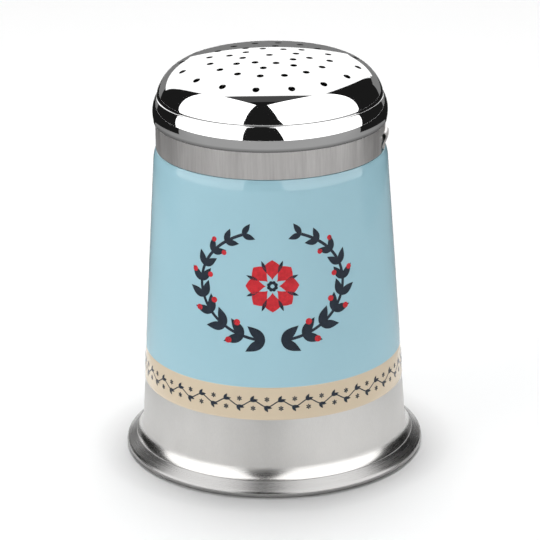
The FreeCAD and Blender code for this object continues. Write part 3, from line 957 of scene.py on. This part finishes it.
class SHAKER_OT_foot(bpy.types.Operator):
    """Turn the rolled foot and the base plate inside it"""

    bl_idname = "shaker.foot"
    bl_label = "Foot and Base"

    def execute(self, context):
        size = sizes()
        self.rolled_foot(size)
        self.base(size)
        return {"FINISHED"}

    def rolled_foot(self, size):
        """The rolled foot with its skirt and curl."""
        centre = (FOOT_HIGH.x - size.curl_radius, size.curl_radius)
        crest = (size.foot_crest, FOOT_HIGH.z)
        reach = math.dist(centre, crest)
        lean = math.atan2(crest[1] - centre[1], crest[0] - centre[0])
        touch = lean - math.acos(size.curl_radius / reach)
        curl = arc(centre, size.curl_radius, -math.pi / 2, touch, 22)
        line = chain(
            run((size.foot_land, 0.0), curl[0], 5),
            curl,
            run(curl[-1], crest, 10),
            run(crest, (size.foot_land, FOOT_HIGH.z), 4),
        )
        line = soften(line, crest, size.foot_bend)
        outline = sheet_outline(line, size.foot_sheet)
        # The foot's steel colour is painted darker than the body's steel, as painted shade.
        finish = brushed_finish(
            "brushed_foot", finish_colours().foot,
            rough=0.27, contrast=0.10, stretch=(55.0, 55.0, 2600.0),
        )
        piece = settle(turned_piece("rolled_foot", outline + outline[:1], finish))
        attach(piece, "body")
        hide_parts("foot_ring")

    def base(self, size):
        """The base plate with its rim and raised middle."""
        low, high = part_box("base_plate")
        floor = high.z - size.base_rise
        rim = (size.base_radius, floor)
        step = (size.base_step_radius, floor)
        middle = (size.base_step_radius - size.base_slant, high.z)
        line = chain(
            run((size.base_radius, low.z), rim, 8),
            run(rim, step, 8),
            run(step, middle, 6),
            run(middle, (0.0, high.z), 12),
        )
        for corner in (rim, step, middle):
            line = soften(line, corner, size.base_bend)
        inside = inner_line(line, size.base_sheet)
        inside[-1] = (0.0, inside[-1][1])
        outline = list(reversed(inside)) + line
        # The base plate takes the foot's steel colour, painted darker than the body's steel as painted
        # shade.
        finish = brushed_finish(
            "base_steel", finish_colours().foot,
            rough=0.32, contrast=0.06, stretch=(90.0, 90.0, 90.0),
        )
        piece = settle(turned_piece("base_disc", outline, finish))
        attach(piece, "body")
        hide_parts("base_plate")


class SHAKER_OT_lugs(bpy.types.Operator):
    """Set the two lock studs on the neck"""

    bl_idname = "shaker.lugs"
    bl_label = "Lock Studs"

    def execute(self, context):
        size = sizes()
        edge = size.lug_reach * STUD_EDGE
        soft = edge * STUD_EDGE
        shape = bmesh.new()
        rings = []
        for reach, radius in (
            (0.0, size.lug_radius),
            (size.lug_reach - edge, size.lug_radius),
            (size.lug_reach - soft, size.lug_radius - soft),
            (size.lug_reach, size.lug_radius - edge),
        ):
            ring = []
            for step in range(STUD_STEPS):
                turn = 2 * math.pi * step / STUD_STEPS
                ring.append(shape.verts.new((reach, radius * math.cos(turn), radius * math.sin(turn))))
            rings.append(ring)
        for first, second in zip(rings, rings[1:]):
            for step in range(STUD_STEPS):
                after = (step + 1) % STUD_STEPS
                shape.faces.new((first[step], first[after], second[after], second[step]))
        shape.faces.new(list(reversed(rings[0])))
        shape.faces.new(rings[-1])
        bmesh.ops.recalc_face_normals(shape, faces=shape.faces[:])
        piece = new_piece("lock_studs", freed_mesh("lock_studs", shape))
        finish = brushed_finish(
            "stud_steel", finish_colours().steel,
            rough=0.3, contrast=0.05, stretch=(300.0, 300.0, 300.0),
        )
        grow(piece, named_tree("Studs round a neck", studs_tree), {
            "Studs": 2,
            "Radius": size.neck_radius,
            "Level": size.lug_level,
            "Turn": size.lug_turn,
            "Spacing": size.lock_spacing,
            "Material": finish,
        })
        settle(piece)
        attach(piece, "body")
        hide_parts("bayonet_lugs")
        return {"FINISHED"}


class SHAKER_OT_enamel(bpy.types.Operator):
    """Coat the side in blue enamel with a cream band below it"""

    bl_idname = "shaker.enamel"
    bl_label = "Enamel Coats"

    def execute(self, context):
        size = sizes()
        tints = finish_colours()
        cream = coat_outline(CREAM_LOW.z, CREAM_HIGH.z)
        piece = settle(turned_piece("cream_band", cream, enamel_finish("cream_gloss", tints.cream)))
        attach(piece, "body")
        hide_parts("cream_enamel")
        low = BLUE_LOW.z
        shoulder = shoulder_line()
        steel = chain(run((side_radius(low), low), shoulder[0], 48), shoulder)
        outer = inner_line(steel, -(size.enamel_gap + size.enamel_coat))
        outer = soften(outer, (size.ledge_radius, BLUE_HIGH.z), size.ledge_bend)
        inner = inner_line(steel, -size.enamel_gap)
        outline = outer + list(reversed(inner)) + outer[:1]
        piece = settle(turned_piece("blue_coat", outline, enamel_finish("blue_gloss", tints.blue)))
        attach(piece, "body")
        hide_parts("blue_enamel")
        return {"FINISHED"}


def wrap_values(level, finish):
    """What the wrapping trees need to lay a print on the side at a height."""
    size = sizes()
    radius = side_radius(level) + (size.enamel_gap + size.enamel_coat) * math.hypot(1.0, side_slope())
    return {"Level": level, "Radius": radius, "Slope": side_slope(), "Material": finish}


def oval_values(ink):
    """What the garland's trees need to know of its oval."""
    return {
        "Half width": ink.garland_width,
        "Half height": ink.garland_height,
        "Start": ink.garland_start,
        "End": ink.garland_end,
    }


class SHAKER_OT_garland(bpy.types.Operator):
    """Print the garland, its berries and its blossom on the front"""

    bl_idname = "shaker.garland"
    bl_label = "Printed Garland"

    def execute(self, context):
        ink = print_sizes()
        tints = finish_colours()
        navy = ink_finish("navy_ink", tints.navy)
        red = ink_finish("red_ink", tints.red)
        self.stems(ink, navy)
        self.leaves(ink, navy)
        self.berries(ink, red)
        self.blossom(ink, red, navy)
        return {"FINISHED"}

    def printed(self, name, mesh, tree, values):
        """A printed piece on the blue coat."""
        piece = new_piece(name, mesh)
        grow(piece, tree, values)
        settle(piece)
        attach(piece, "body")

    def stems(self, ink, navy):
        """The two stems."""
        values = oval_values(ink)
        values.update(wrap_values(ink.garland_level, navy))
        values.update({"Width": ink.stem_width, "Proud": ink.proud * STRIP_PROUD})
        mesh = bpy.data.meshes.new("garland_stems")
        self.printed("garland_stems", mesh, named_tree("Garland stems", stems_tree), values)

    def leaves(self, ink, navy):
        """The leaves on both edges of the stems."""
        values = oval_values(ink)
        values.update(wrap_values(ink.garland_level, navy))
        values.update({"Pairs": ink.garland_leaves, "Turn": ink.leaf_turn, "Tip scale": 0.62})
        mesh = ink_shape("garland_leaves", leaf_rows(ink.leaf_length, ink.leaf_width), ink)
        self.printed("garland_leaves", mesh, named_tree("Leaf spray", spray_tree), values)

    def berries(self, ink, red):
        """The berries between the leaves."""
        values = oval_values(ink)
        step = (ink.garland_end - ink.garland_start) / (ink.garland_leaves - 1)
        margin = step * 1.5
        values.update({"Start": ink.garland_start + margin, "End": ink.garland_end - margin})
        values.update(wrap_values(ink.garland_level, red))
        values.update({"Pairs": 4, "Turn": math.radians(80), "Tip scale": 0.8})
        mesh = ink_shape("garland_berries", disc_rows((ink.berry_reach, 0.0), ink.berry_radius), ink)
        self.printed("garland_berries", mesh, named_tree("Leaf spray", spray_tree), values)

    def blossom(self, ink, red, navy):
        """The blossom in the middle, with its dark heart."""
        tree = named_tree("Blossom", blossom_tree)
        reach = ink.blossom_radius
        values = wrap_values(ink.garland_level, red)
        values.update({"Petals": ink.blossom_petals, "Turn": math.pi / 2})
        rows = leaf_rows(reach * 0.76, reach * 0.62, fullest=0.6, steps=12, start=reach * 0.24, across=4)
        self.printed("blossom_petals", ink_shape("blossom_petals", rows, ink), tree, values)
        values = wrap_values(ink.garland_level, navy)
        values.update({"Petals": ink.blossom_petals, "Turn": math.pi / 2 + math.pi / ink.blossom_petals})
        ray = leaf_rows(reach * 0.5, reach * 0.13, fullest=0.5, steps=8, start=reach * 0.55)
        seed = disc_rows((reach * 0.14, 0.0), reach * 0.07, steps=8, across=2)
        parts = [ink_shape("heart_ray", ray, ink), ink_shape("heart_seed", seed, ink)]
        self.printed("blossom_heart", join_meshes("blossom_heart", parts), tree, values)


class SHAKER_OT_border(bpy.types.Operator):
    """Print the running leaf border on the cream band"""

    bl_idname = "shaker.border"
    bl_label = "Printed Border"

    def execute(self, context):
        ink = print_sizes()
        values = wrap_values(ink.border_level, bpy.data.materials["navy_ink"])
        pitch = 2 * math.pi * values["Radius"] / ink.border_repeats
        wave = ink.border_wave
        parts = []
        for share, side in ((0.25, 1), (0.75, -1)):
            root = (pitch * (share - 0.1), wave * side * 0.8)
            for turn, reach in ((58, ink.border_bract), (14, ink.border_leaf)):
                rows = leaf_rows(reach, ink.border_leaf_width, fullest=0.45, steps=8)
                rows = turn_rows(rows, math.radians(turn) * side, root)
                parts.append(ink_shape("border_leaf", rows, ink))
            star = (pitch * share, -wave * side * 1.55)
            for turn in range(30, 390, 60):
                rows = leaf_rows(ink.border_star, ink.border_ray, fullest=0.6, steps=5)
                rows = turn_rows(rows, math.radians(turn), star)
                parts.append(ink_shape("border_ray", rows, ink))
        values.update({
            "Repeats": ink.border_repeats,
            "Wave": wave,
            "Width": ink.border_stem,
            "Proud": ink.proud * STRIP_PROUD,
        })
        piece = new_piece("band_border", join_meshes("band_border", parts))
        grow(piece, named_tree("Running border", border_tree), values)
        settle(piece)
        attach(piece, "body")
        return {"FINISHED"}


class SHAKER_OT_cap(bpy.types.Operator):
    """Turn the polished cap and punch its pouring holes"""

    bl_idname = "shaker.cap"
    bl_label = "Perforated Cap"

    def execute(self, context):
        lid = lid_sizes()
        crown_level = CAP_HIGH.z - lid.crown_radius
        finish = chrome_finish(finish_colours().chrome)
        outline = sheet_outline(self.cap_line(lid, crown_level), lid.cap_sheet)
        middle = len(outline) // 2
        outline = outline[middle:] + outline[:middle]
        piece = turned_piece("domed_cap", outline, finish)
        values = {
            "Hole radius": lid.hole_radius,
            "Level": CAP_HIGH.z - lid.punch_drop,
            "Reach": lid.punch_reach,
            "Material": finish,
        }
        for ring, (radius, holes, turn) in enumerate(HOLE_RINGS):
            values[f"Ring {ring} radius"] = radius
            values[f"Ring {ring} holes"] = holes
            values[f"Ring {ring} turn"] = math.radians(turn)
        grow(piece, named_tree("Perforated dome", perforated_tree, len(HOLE_RINGS)), values)
        settle(piece)
        self.polish(piece.data, lid, Vector((0.0, 0.0, crown_level)))
        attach(piece, "lid")
        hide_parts("lid_cap")
        return {"FINISHED"}

    def cap_line(self, lid, crown_level):
        """The cap's outer line from its lip over the bead and the crease to the crown."""
        crease = (lid.crease_radius, lid.crease_level)
        bead = (lid.bead_radius, lid.bead_level)
        lip = (lid.lip_radius, CAP_LOW.z)
        reach = lid.crown_radius - lid.corner_radius
        gap = math.dist(crease, (0.0, crown_level))
        aim = math.atan2(crease[1] - crown_level, crease[0])
        spread = (gap ** 2 + reach ** 2 - lid.corner_radius ** 2) / (2 * gap * reach)
        aim += math.acos(spread)
        corner = (reach * math.cos(aim), crown_level + reach * math.sin(aim))
        valley = (crease[0] - lid.crease_depth, crease[1] + lid.crease_depth * 0.4)
        lean = lid.dome_lean
        dome = arc(corner, lid.corner_radius, lean, aim, 36)
        line = chain(
            run(lip, bead, 6),
            tangent_arc(bead, (bead[0] - lip[0], bead[1] - lip[1]), crease, 24),
            [valley],
            reversed(tangent_arc(dome[0], (math.sin(lean), -math.cos(lean)), valley, 10)),
            dome,
            arc((0.0, crown_level), lid.crown_radius, aim, math.pi / 2, 44),
        )
        line = soften(line, crease, lid.crease_bend, 5)
        return soften(line, valley, lid.valley_bend, 5)

    def polish(self, mesh, lid, centre):
        """Gives the punched crown the normals of its true sphere, so that the mirror finish stays even."""
        outer = lid.crown_radius
        inner = lid.crown_radius - lid.cap_sheet
        normals = [(0.0, 0.0, 0.0)] * len(mesh.loops)
        for face in mesh.polygons:
            spokes = [mesh.vertices[index].co - centre for index in face.vertices]
            for radius, sign in ((outer, 1.0), (inner, -1.0)):
                on_crown = all(abs(spoke.length - radius) < ON_CROWN for spoke in spokes)
                facing = face.normal.dot((face.center - centre).normalized()) * sign
                if on_crown and facing > CROWN_FACING:
                    for loop, spoke in zip(face.loop_indices, spokes):
                        normals[loop] = tuple(spoke.normalized() * sign)
        mesh.normals_split_custom_set(normals)


class SHAKER_OT_collar(bpy.types.Operator):
    """Press the brushed collar with its lock slots and pockets"""

    bl_idname = "shaker.collar"
    bl_label = "Lock Collar"

    def execute(self, context):
        lid = lid_sizes()
        slot = lid.slot_width / lid.ring_radius
        turns = self.turns(lid, slot)
        levels = self.levels(lid)
        shape = bmesh.new()
        columns = []
        for turn in turns:
            column = []
            for level in levels:
                radius = lid.ring_radius + self.bulge(lid, slot, turn, level)
                if level >= lid.flange_level:
                    radius = lid.flange_radius
                column.append(shape.verts.new((radius * math.cos(turn), radius * math.sin(turn), level)))
            columns.append(column)
        for index, turn in enumerate(turns):
            after = (index + 1) % len(turns)
            width = (turns[after] - turn) % (2 * math.pi)
            in_slot = self.past_slot(lid, slot, turn + width / 2) < slot
            for step in range(len(levels) - 1):
                if in_slot and levels[step + 1] <= lid.slot_top + SAME_POINT:
                    continue
                shape.faces.new((
                    columns[index][step], columns[after][step],
                    columns[after][step + 1], columns[index][step + 1],
                ))
        loose = [vertex for vertex in shape.verts if not vertex.link_faces]
        bmesh.ops.delete(shape, geom=loose, context="VERTS")
        mesh = freed_mesh("lock_collar", shape)
        mesh.shade_smooth()
        # The collar's steel colour is painted lighter than the body's steel, a painted highlight.
        mesh.materials.append(brushed_finish(
            "brushed_collar", finish_colours().collar,
            rough=0.36, contrast=0.12, stretch=(1500.0, 1500.0, 90.0), bands=0.16, spread=0.8,
        ))
        piece = new_piece("lock_collar", mesh)
        wall = piece.modifiers.new("Wall", "SOLIDIFY")
        wall.thickness = lid.ring_sheet
        wall.offset = -1.0
        settle(piece)
        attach(piece, "lock")
        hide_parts("lock_ring")
        return {"FINISHED"}

    def turns(self, lid, slot):
        """Angles of the collar's columns, closer together at the slots and pockets."""
        turns = []
        spacing = sizes().lock_spacing
        for first, span in ((0.0, spacing), (spacing, 2 * math.pi - spacing)):
            mouth = lid.pocket_mouth + first
            rest = span - slot - lid.pocket_sweep
            turns += self.shares(mouth - slot, slot, SLOT_STEPS)
            turns += self.shares(mouth, lid.pocket_sweep, POCKET_STEPS)
            turns += self.shares(mouth + lid.pocket_sweep, rest, PLAIN_STEPS)
        return turns

    def shares(self, start, width, steps):
        """Even steps over a width, without its end."""
        return [start + width * step / steps for step in range(steps)]

    def past_slot(self, lid, slot, turn):
        """Angle from the start of the slot behind it to a place on the collar."""
        past = (turn - lid.pocket_mouth + slot + 1e-9) % (2 * math.pi)
        spacing = sizes().lock_spacing
        return past - spacing if past >= spacing else past

    def levels(self, lid):
        """Heights of the collar's rows, closer together at the pockets."""
        levels = [RING_LOW.z, RING_LOW.z + lid.ring_edge]
        levels += self.shares(lid.pocket_floor, lid.slot_top - lid.pocket_floor, POCKET_ROWS)
        levels += self.shares(lid.slot_top, lid.flange_level - lid.slot_top, UPPER_ROWS)
        return levels + [lid.flange_level - lid.flange_step, lid.flange_level, RING_HIGH.z]

    def eased(self, share):
        """A share that starts and ends gently."""
        return share * share * (3 - 2 * share)

    def bulge(self, lid, slot, turn, level):
        """How far a pressed pocket stands out at an angle and a height."""
        along = (self.past_slot(lid, slot, turn) - slot) / lid.pocket_sweep
        if along < 0 or along > 1 or level <= lid.pocket_floor or level >= lid.slot_top:
            return 0.0
        if level < lid.pocket_crest:
            share = (level - lid.pocket_floor) / (lid.pocket_crest - lid.pocket_floor)
            height = self.eased(share)
        else:
            share = (level - lid.pocket_crest) / (lid.slot_top - lid.pocket_crest)
            height = math.sqrt(max(0.0, 1 - share * share))
        fade = min(1.0, max(0.0, (1 - along) / POCKET_FADE))
        return lid.pocket_depth * height * self.eased(fade)


# Name and strength of the even glow of the studio's cards.
CARD_GLOW = {
    "panel_bright": 2.0,
    "panel_white": 1.3,
    "screen_black": 0.012,
    "screen_grey": 0.075,
    "dusk_grey": 0.22,
}
# Name, finish, distance and steps of each card, and the azimuth and elevation of its corners.
CARDS = (
    ("left_panel", "panel_bright", 0.95, 14, ((-100, -8), (-26, -8), (-24, 64), (-116, 54))),
    ("right_panel", "panel_bright", 0.95, 14, ((13, -8), (96, -8), (109, 58), (-5, 65))),
    ("back_panel", "panel_white", 0.95, 30, ((-139, 7), (154, 5), (98, 60), (-98, 58))),
    ("front_screen", "screen_black", 1.0, 14, ((-60, -8), (60, -8), (50, 68), (-50, 68))),
    ("left_screen", "screen_black", 1.0, 14, ((-150, -8), (-80, -8), (-90, 62), (-116, 60))),
    ("right_screen", "screen_black", 1.0, 14, ((80, -8), (156, -8), (116, 60), (90, 62))),
    ("top_screen", "screen_grey", 1.02, 30, ((-70, 48), (70, 48), (120, 48), (-120, 48))),
    ("back_screen", "dusk_grey", 0.98, 14, ((-218, -7), (-142, -7), (-142, 9), (-218, 9))),
)
# Name, finish, first and last azimuth, inner and outer radius, and height of each apron.
APRONS = (
    ("floor_apron", "apron_grey", (-180, 180), (0.1, 0.95), 0.0005),
    ("left_apron", "screen_black", (-164, -96), (0.3, 0.95), 0.001),
    ("right_apron", "screen_black", (94, 164), (0.3, 0.95), 0.001),
)
# Name, azimuth, elevation, distance, sides and power of each lamp.
LAMPS = (
    ("left_lamp", -62, 11, 1.1, (0.9, 0.3), 6.8),
    ("right_lamp", 52, 11, 1.1, (0.9, 0.3), 4.7),
    ("top_lamp", 180, 75, 1.3, (0.7, 0.7), 13.5),
)
FLOOR_REACH = 4.0


def heading(azimuth, elevation):
    """A direction, with the azimuth from the photo's side, positive to the right."""
    turn = math.radians(azimuth)
    rise = math.radians(elevation)
    return Vector((math.cos(rise) * math.sin(turn), -math.cos(rise) * math.cos(turn), math.sin(rise)))


STUDIO_MIDDLE = Vector((0.0, 0.0, 0.115))
LAMP_MIDDLE = Vector((0.0, 0.0, 0.06))


def studio_card(name, corners, distance, finish, steps):
    """A curved card of the studio that only reflections show, given by its four corners' directions."""
    spots = [heading(azimuth, elevation) for azimuth, elevation in corners]
    vertices = []
    for row in range(steps + 1):
        for column in range(steps + 1):
            across, up = column / steps, row / steps
            low = spots[0].lerp(spots[1], across)
            high = spots[3].lerp(spots[2], across)
            vertices.append(STUDIO_MIDDLE + low.lerp(high, up).normalized() * distance)
    faces = []
    for row in range(steps):
        for column in range(steps):
            corner = row * (steps + 1) + column
            faces.append((corner, corner + 1, corner + steps + 2, corner + steps + 1))
    mesh = bpy.data.meshes.new(name)
    mesh.from_pydata(vertices, [], faces)
    mesh.materials.append(finish)
    show_in_mirrors(new_piece(name, mesh))


def show_in_mirrors(card):
    """Hides a studio card from the camera, from diffuse light and from shadows."""
    card.visible_camera = False
    card.visible_diffuse = False
    card.visible_shadow = False


def glow_finish(name, base):
    """A matt grey finish with a white glow, and its node tree and shader."""
    finish, tree, shader = new_finish(name)
    shader.inputs["Base Color"].default_value = (base, base, base, 1.0)
    shader.inputs["Specular IOR Level"].default_value = 0.0
    shader.inputs["Emission Color"].default_value = (1.0, 1.0, 1.0, 1.0)
    return finish, tree, shader


def card_finish(name, level):
    """A card's even glow, which ends after a diffuse bounce."""
    finish, tree, shader = glow_finish(name, 0.0)
    bounces = add_node(tree, "ShaderNodeLightPath").outputs["Diffuse Depth"]
    glow = map_range(tree, bounces, low=0.0, high=1.0, first=level, last=0.0)
    tree.links.new(glow, shader.inputs["Emission Strength"])
    return finish


class SHAKER_OT_stage(bpy.types.Operator):
    """Set up the floor, the studio light and the camera"""

    bl_idname = "shaker.stage"
    bl_label = "Studio"

    def execute(self, context):
        scene = context.scene
        scene.view_settings.view_transform = "Standard"
        self.world(scene)
        self.floor()
        self.cards()
        self.lamps()
        self.camera(scene)
        return {"FINISHED"}

    def seen_rays(self, tree):
        """One for rays from the camera, mirrors and glass before any diffuse bounce, none for others."""
        rays = add_node(tree, "ShaderNodeLightPath")
        both = calc(tree, "MAXIMUM", rays.outputs["Is Camera Ray"], rays.outputs["Is Glossy Ray"])
        seen = calc(tree, "MAXIMUM", both, rays.outputs["Is Transmission Ray"])
        return calc(tree, "MULTIPLY", seen, calc(tree, "LESS_THAN", rays.outputs["Diffuse Depth"], 0.5))

    def world(self, scene):
        """White to look at, and an even soft light."""
        world = bpy.data.worlds.new("white_studio")
        world.use_nodes = True
        tree = world.node_tree
        seen = self.seen_rays(tree)
        level = map_range(tree, seen, low=0.0, high=1.0, first=0.2, last=1.0)
        background = next(node for node in tree.nodes if node.type == "BACKGROUND")
        background.inputs["Color"].default_value = (1.0, 1.0, 1.0, 1.0)
        tree.links.new(level, background.inputs["Strength"])
        scene.world = world

    def floor(self):
        """A wide pale floor that keeps the shaker's shadow, with its glow fading near the foot as a painted
        contact shadow.
        """
        mesh = bpy.data.meshes.new("studio_floor")
        corners = [(-1, -1), (1, -1), (1, 1), (-1, 1)]
        mesh.from_pydata([(x * FLOOR_REACH, y * FLOOR_REACH, 0.0) for x, y in corners], [], [(0, 1, 2, 3)])
        finish, tree, shader = glow_finish("pale_floor", 0.88)
        shader.inputs["Roughness"].default_value = 0.9
        # Painted contact shadow: the floor's glow fades to nothing at the foot, darkening the floor round
        # it.
        clear = reach_range(tree, near=FOOT_HIGH.x, far=FOOT_HIGH.x * 1.25, first=0.0, last=0.14)
        lift = calc(tree, "MULTIPLY", self.seen_rays(tree), clear)
        tree.links.new(lift, shader.inputs["Emission Strength"])
        mesh.materials.append(finish)
        new_piece("studio_floor", mesh)

    def cards(self):
        """Light panels and dark screens that the polished metal shows."""
        finishes = {name: card_finish(name, level) for name, level in CARD_GLOW.items()}
        finishes["apron_grey"] = self.apron_finish()
        for name, finish, distance, steps, corners in CARDS:
            studio_card(name, corners, distance, finishes[finish], steps)
        for name, finish, azimuths, radii, level in APRONS:
            self.apron(name, azimuths, radii, level, finishes[finish])

    def apron(self, name, azimuths, radii, level, finish):
        """A flat part of a ring just above the floor that only reflections show."""
        vertices = []
        for radius in radii:
            for step in range(APRON_STEPS + 1):
                azimuth = azimuths[0] + (azimuths[1] - azimuths[0]) * step / APRON_STEPS
                vertices.append(heading(azimuth, 0.0) * radius + Vector((0.0, 0.0, level)))
        row = APRON_STEPS + 1
        faces = [(step, row + step, row + step + 1, step + 1) for step in range(APRON_STEPS)]
        mesh = bpy.data.meshes.new(name)
        mesh.from_pydata(vertices, [], faces)
        mesh.materials.append(finish)
        show_in_mirrors(new_piece(name, mesh))

    def apron_finish(self):
        """A grey that gets darker away from the shaker and behind it."""
        finish, tree, shader = glow_finish("apron_grey", 0.0)
        near = reach_range(tree, near=0.1, far=0.19, first=0.8, last=0.38)
        depth = parts_of(tree, own_place(tree))[1]
        back = map_range(tree, depth, low=-0.1, high=0.2, first=1.0, last=0.6)
        tree.links.new(calc(tree, "MULTIPLY", near, back), shader.inputs["Emission Strength"])
        return finish

    def lamp(self, name, azimuth, elevation, distance, sides, power):
        """A soft lamp that faces the shaker and stays out of reflections."""
        data = bpy.data.lights.new(name, "AREA")
        data.shape = "RECTANGLE"
        data.size, data.size_y = sides
        data.energy = power
        lamp = new_piece(name, data)
        aim = heading(azimuth, elevation)
        lamp.location = LAMP_MIDDLE + aim * distance
        lamp.rotation_euler = aim.to_track_quat("Z", "Y").to_euler()
        lamp.visible_camera = False
        lamp.visible_glossy = False

    def lamps(self):
        """Soft light from both sides and from above."""
        for values in LAMPS:
            self.lamp(*values)

    def camera(self, scene):
        """The camera at the photo's angle."""
        data = bpy.data.cameras.new("photo_camera")
        data.lens = 180.0
        data.sensor_width = 36.0
        data.clip_end = 20.0
        camera = new_piece("photo_camera", data)
        eye = Vector((0.0, -0.7601, 0.3353))
        pitch = math.radians(20.26)
        turn = math.radians(-0.05)
        roll = math.radians(-0.78)
        ahead = Vector((
            math.sin(turn) * math.cos(pitch), math.cos(turn) * math.cos(pitch), -math.sin(pitch),
        ))
        right = ahead.cross(Vector((0.0, 0.0, 1.0))).normalized()
        above = right.cross(ahead)
        tilted = right * math.cos(roll) + above * math.sin(roll)
        upright = above * math.cos(roll) - right * math.sin(roll)
        facing = Matrix((tilted, upright, -ahead)).transposed()
        camera.matrix_world = Matrix.Translation(eye) @ facing.to_4x4()
        scene.camera = camera


STEPS = (
    SHAKER_OT_body,
    SHAKER_OT_foot,
    SHAKER_OT_lugs,
    SHAKER_OT_enamel,
    SHAKER_OT_garland,
    SHAKER_OT_border,
    SHAKER_OT_cap,
    SHAKER_OT_collar,
    SHAKER_OT_stage,
)


class SHAKER_PT_sidebar(bpy.types.Panel):
    """Lists the shaker's steps, sizes and colours"""

    bl_idname = "SHAKER_PT_sidebar"
    bl_label = "Sugar Shaker"
    bl_space_type = "VIEW_3D"
    bl_region_type = "UI"
    bl_category = "Shaker"

    def draw(self, context):
        layout = self.layout
        for step in STEPS:
            layout.operator(step.bl_idname)
        for group in GROUPS:
            settings = getattr(context.scene, GROUPS[group])
            box = layout.box()
            box.label(text=group.__doc__)
            for name in group.__annotations__:
                box.prop(settings, name)


GROUPS = {
    ShakerSizes: "shaker_sizes",
    ShakerLid: "shaker_lid",
    ShakerPrint: "shaker_print",
    ShakerFinish: "shaker_finish",
}


def register():
    """Registers the settings, the steps and the panel."""
    for group, name in GROUPS.items():
        bpy.utils.register_class(group)
        setattr(bpy.types.Scene, name, PointerProperty(type=group))
    for item in (*STEPS, SHAKER_PT_sidebar):
        bpy.utils.register_class(item)


def unregister():
    """Takes the settings, the steps and the panel away again."""
    for item in (SHAKER_PT_sidebar, *reversed(STEPS)):
        bpy.utils.unregister_class(item)
    for group, name in GROUPS.items():
        delattr(bpy.types.Scene, name)
        bpy.utils.unregister_class(group)


def main():
    """Builds the shaker and its studio."""
    register()
    bpy.ops.shaker.body()
    bpy.ops.shaker.foot()
    bpy.ops.shaker.lugs()
    bpy.ops.shaker.enamel()
    bpy.ops.shaker.garland()
    bpy.ops.shaker.border()
    bpy.ops.shaker.cap()
    bpy.ops.shaker.collar()
    bpy.ops.shaker.stage()


if __name__ == "__main__":
    main()
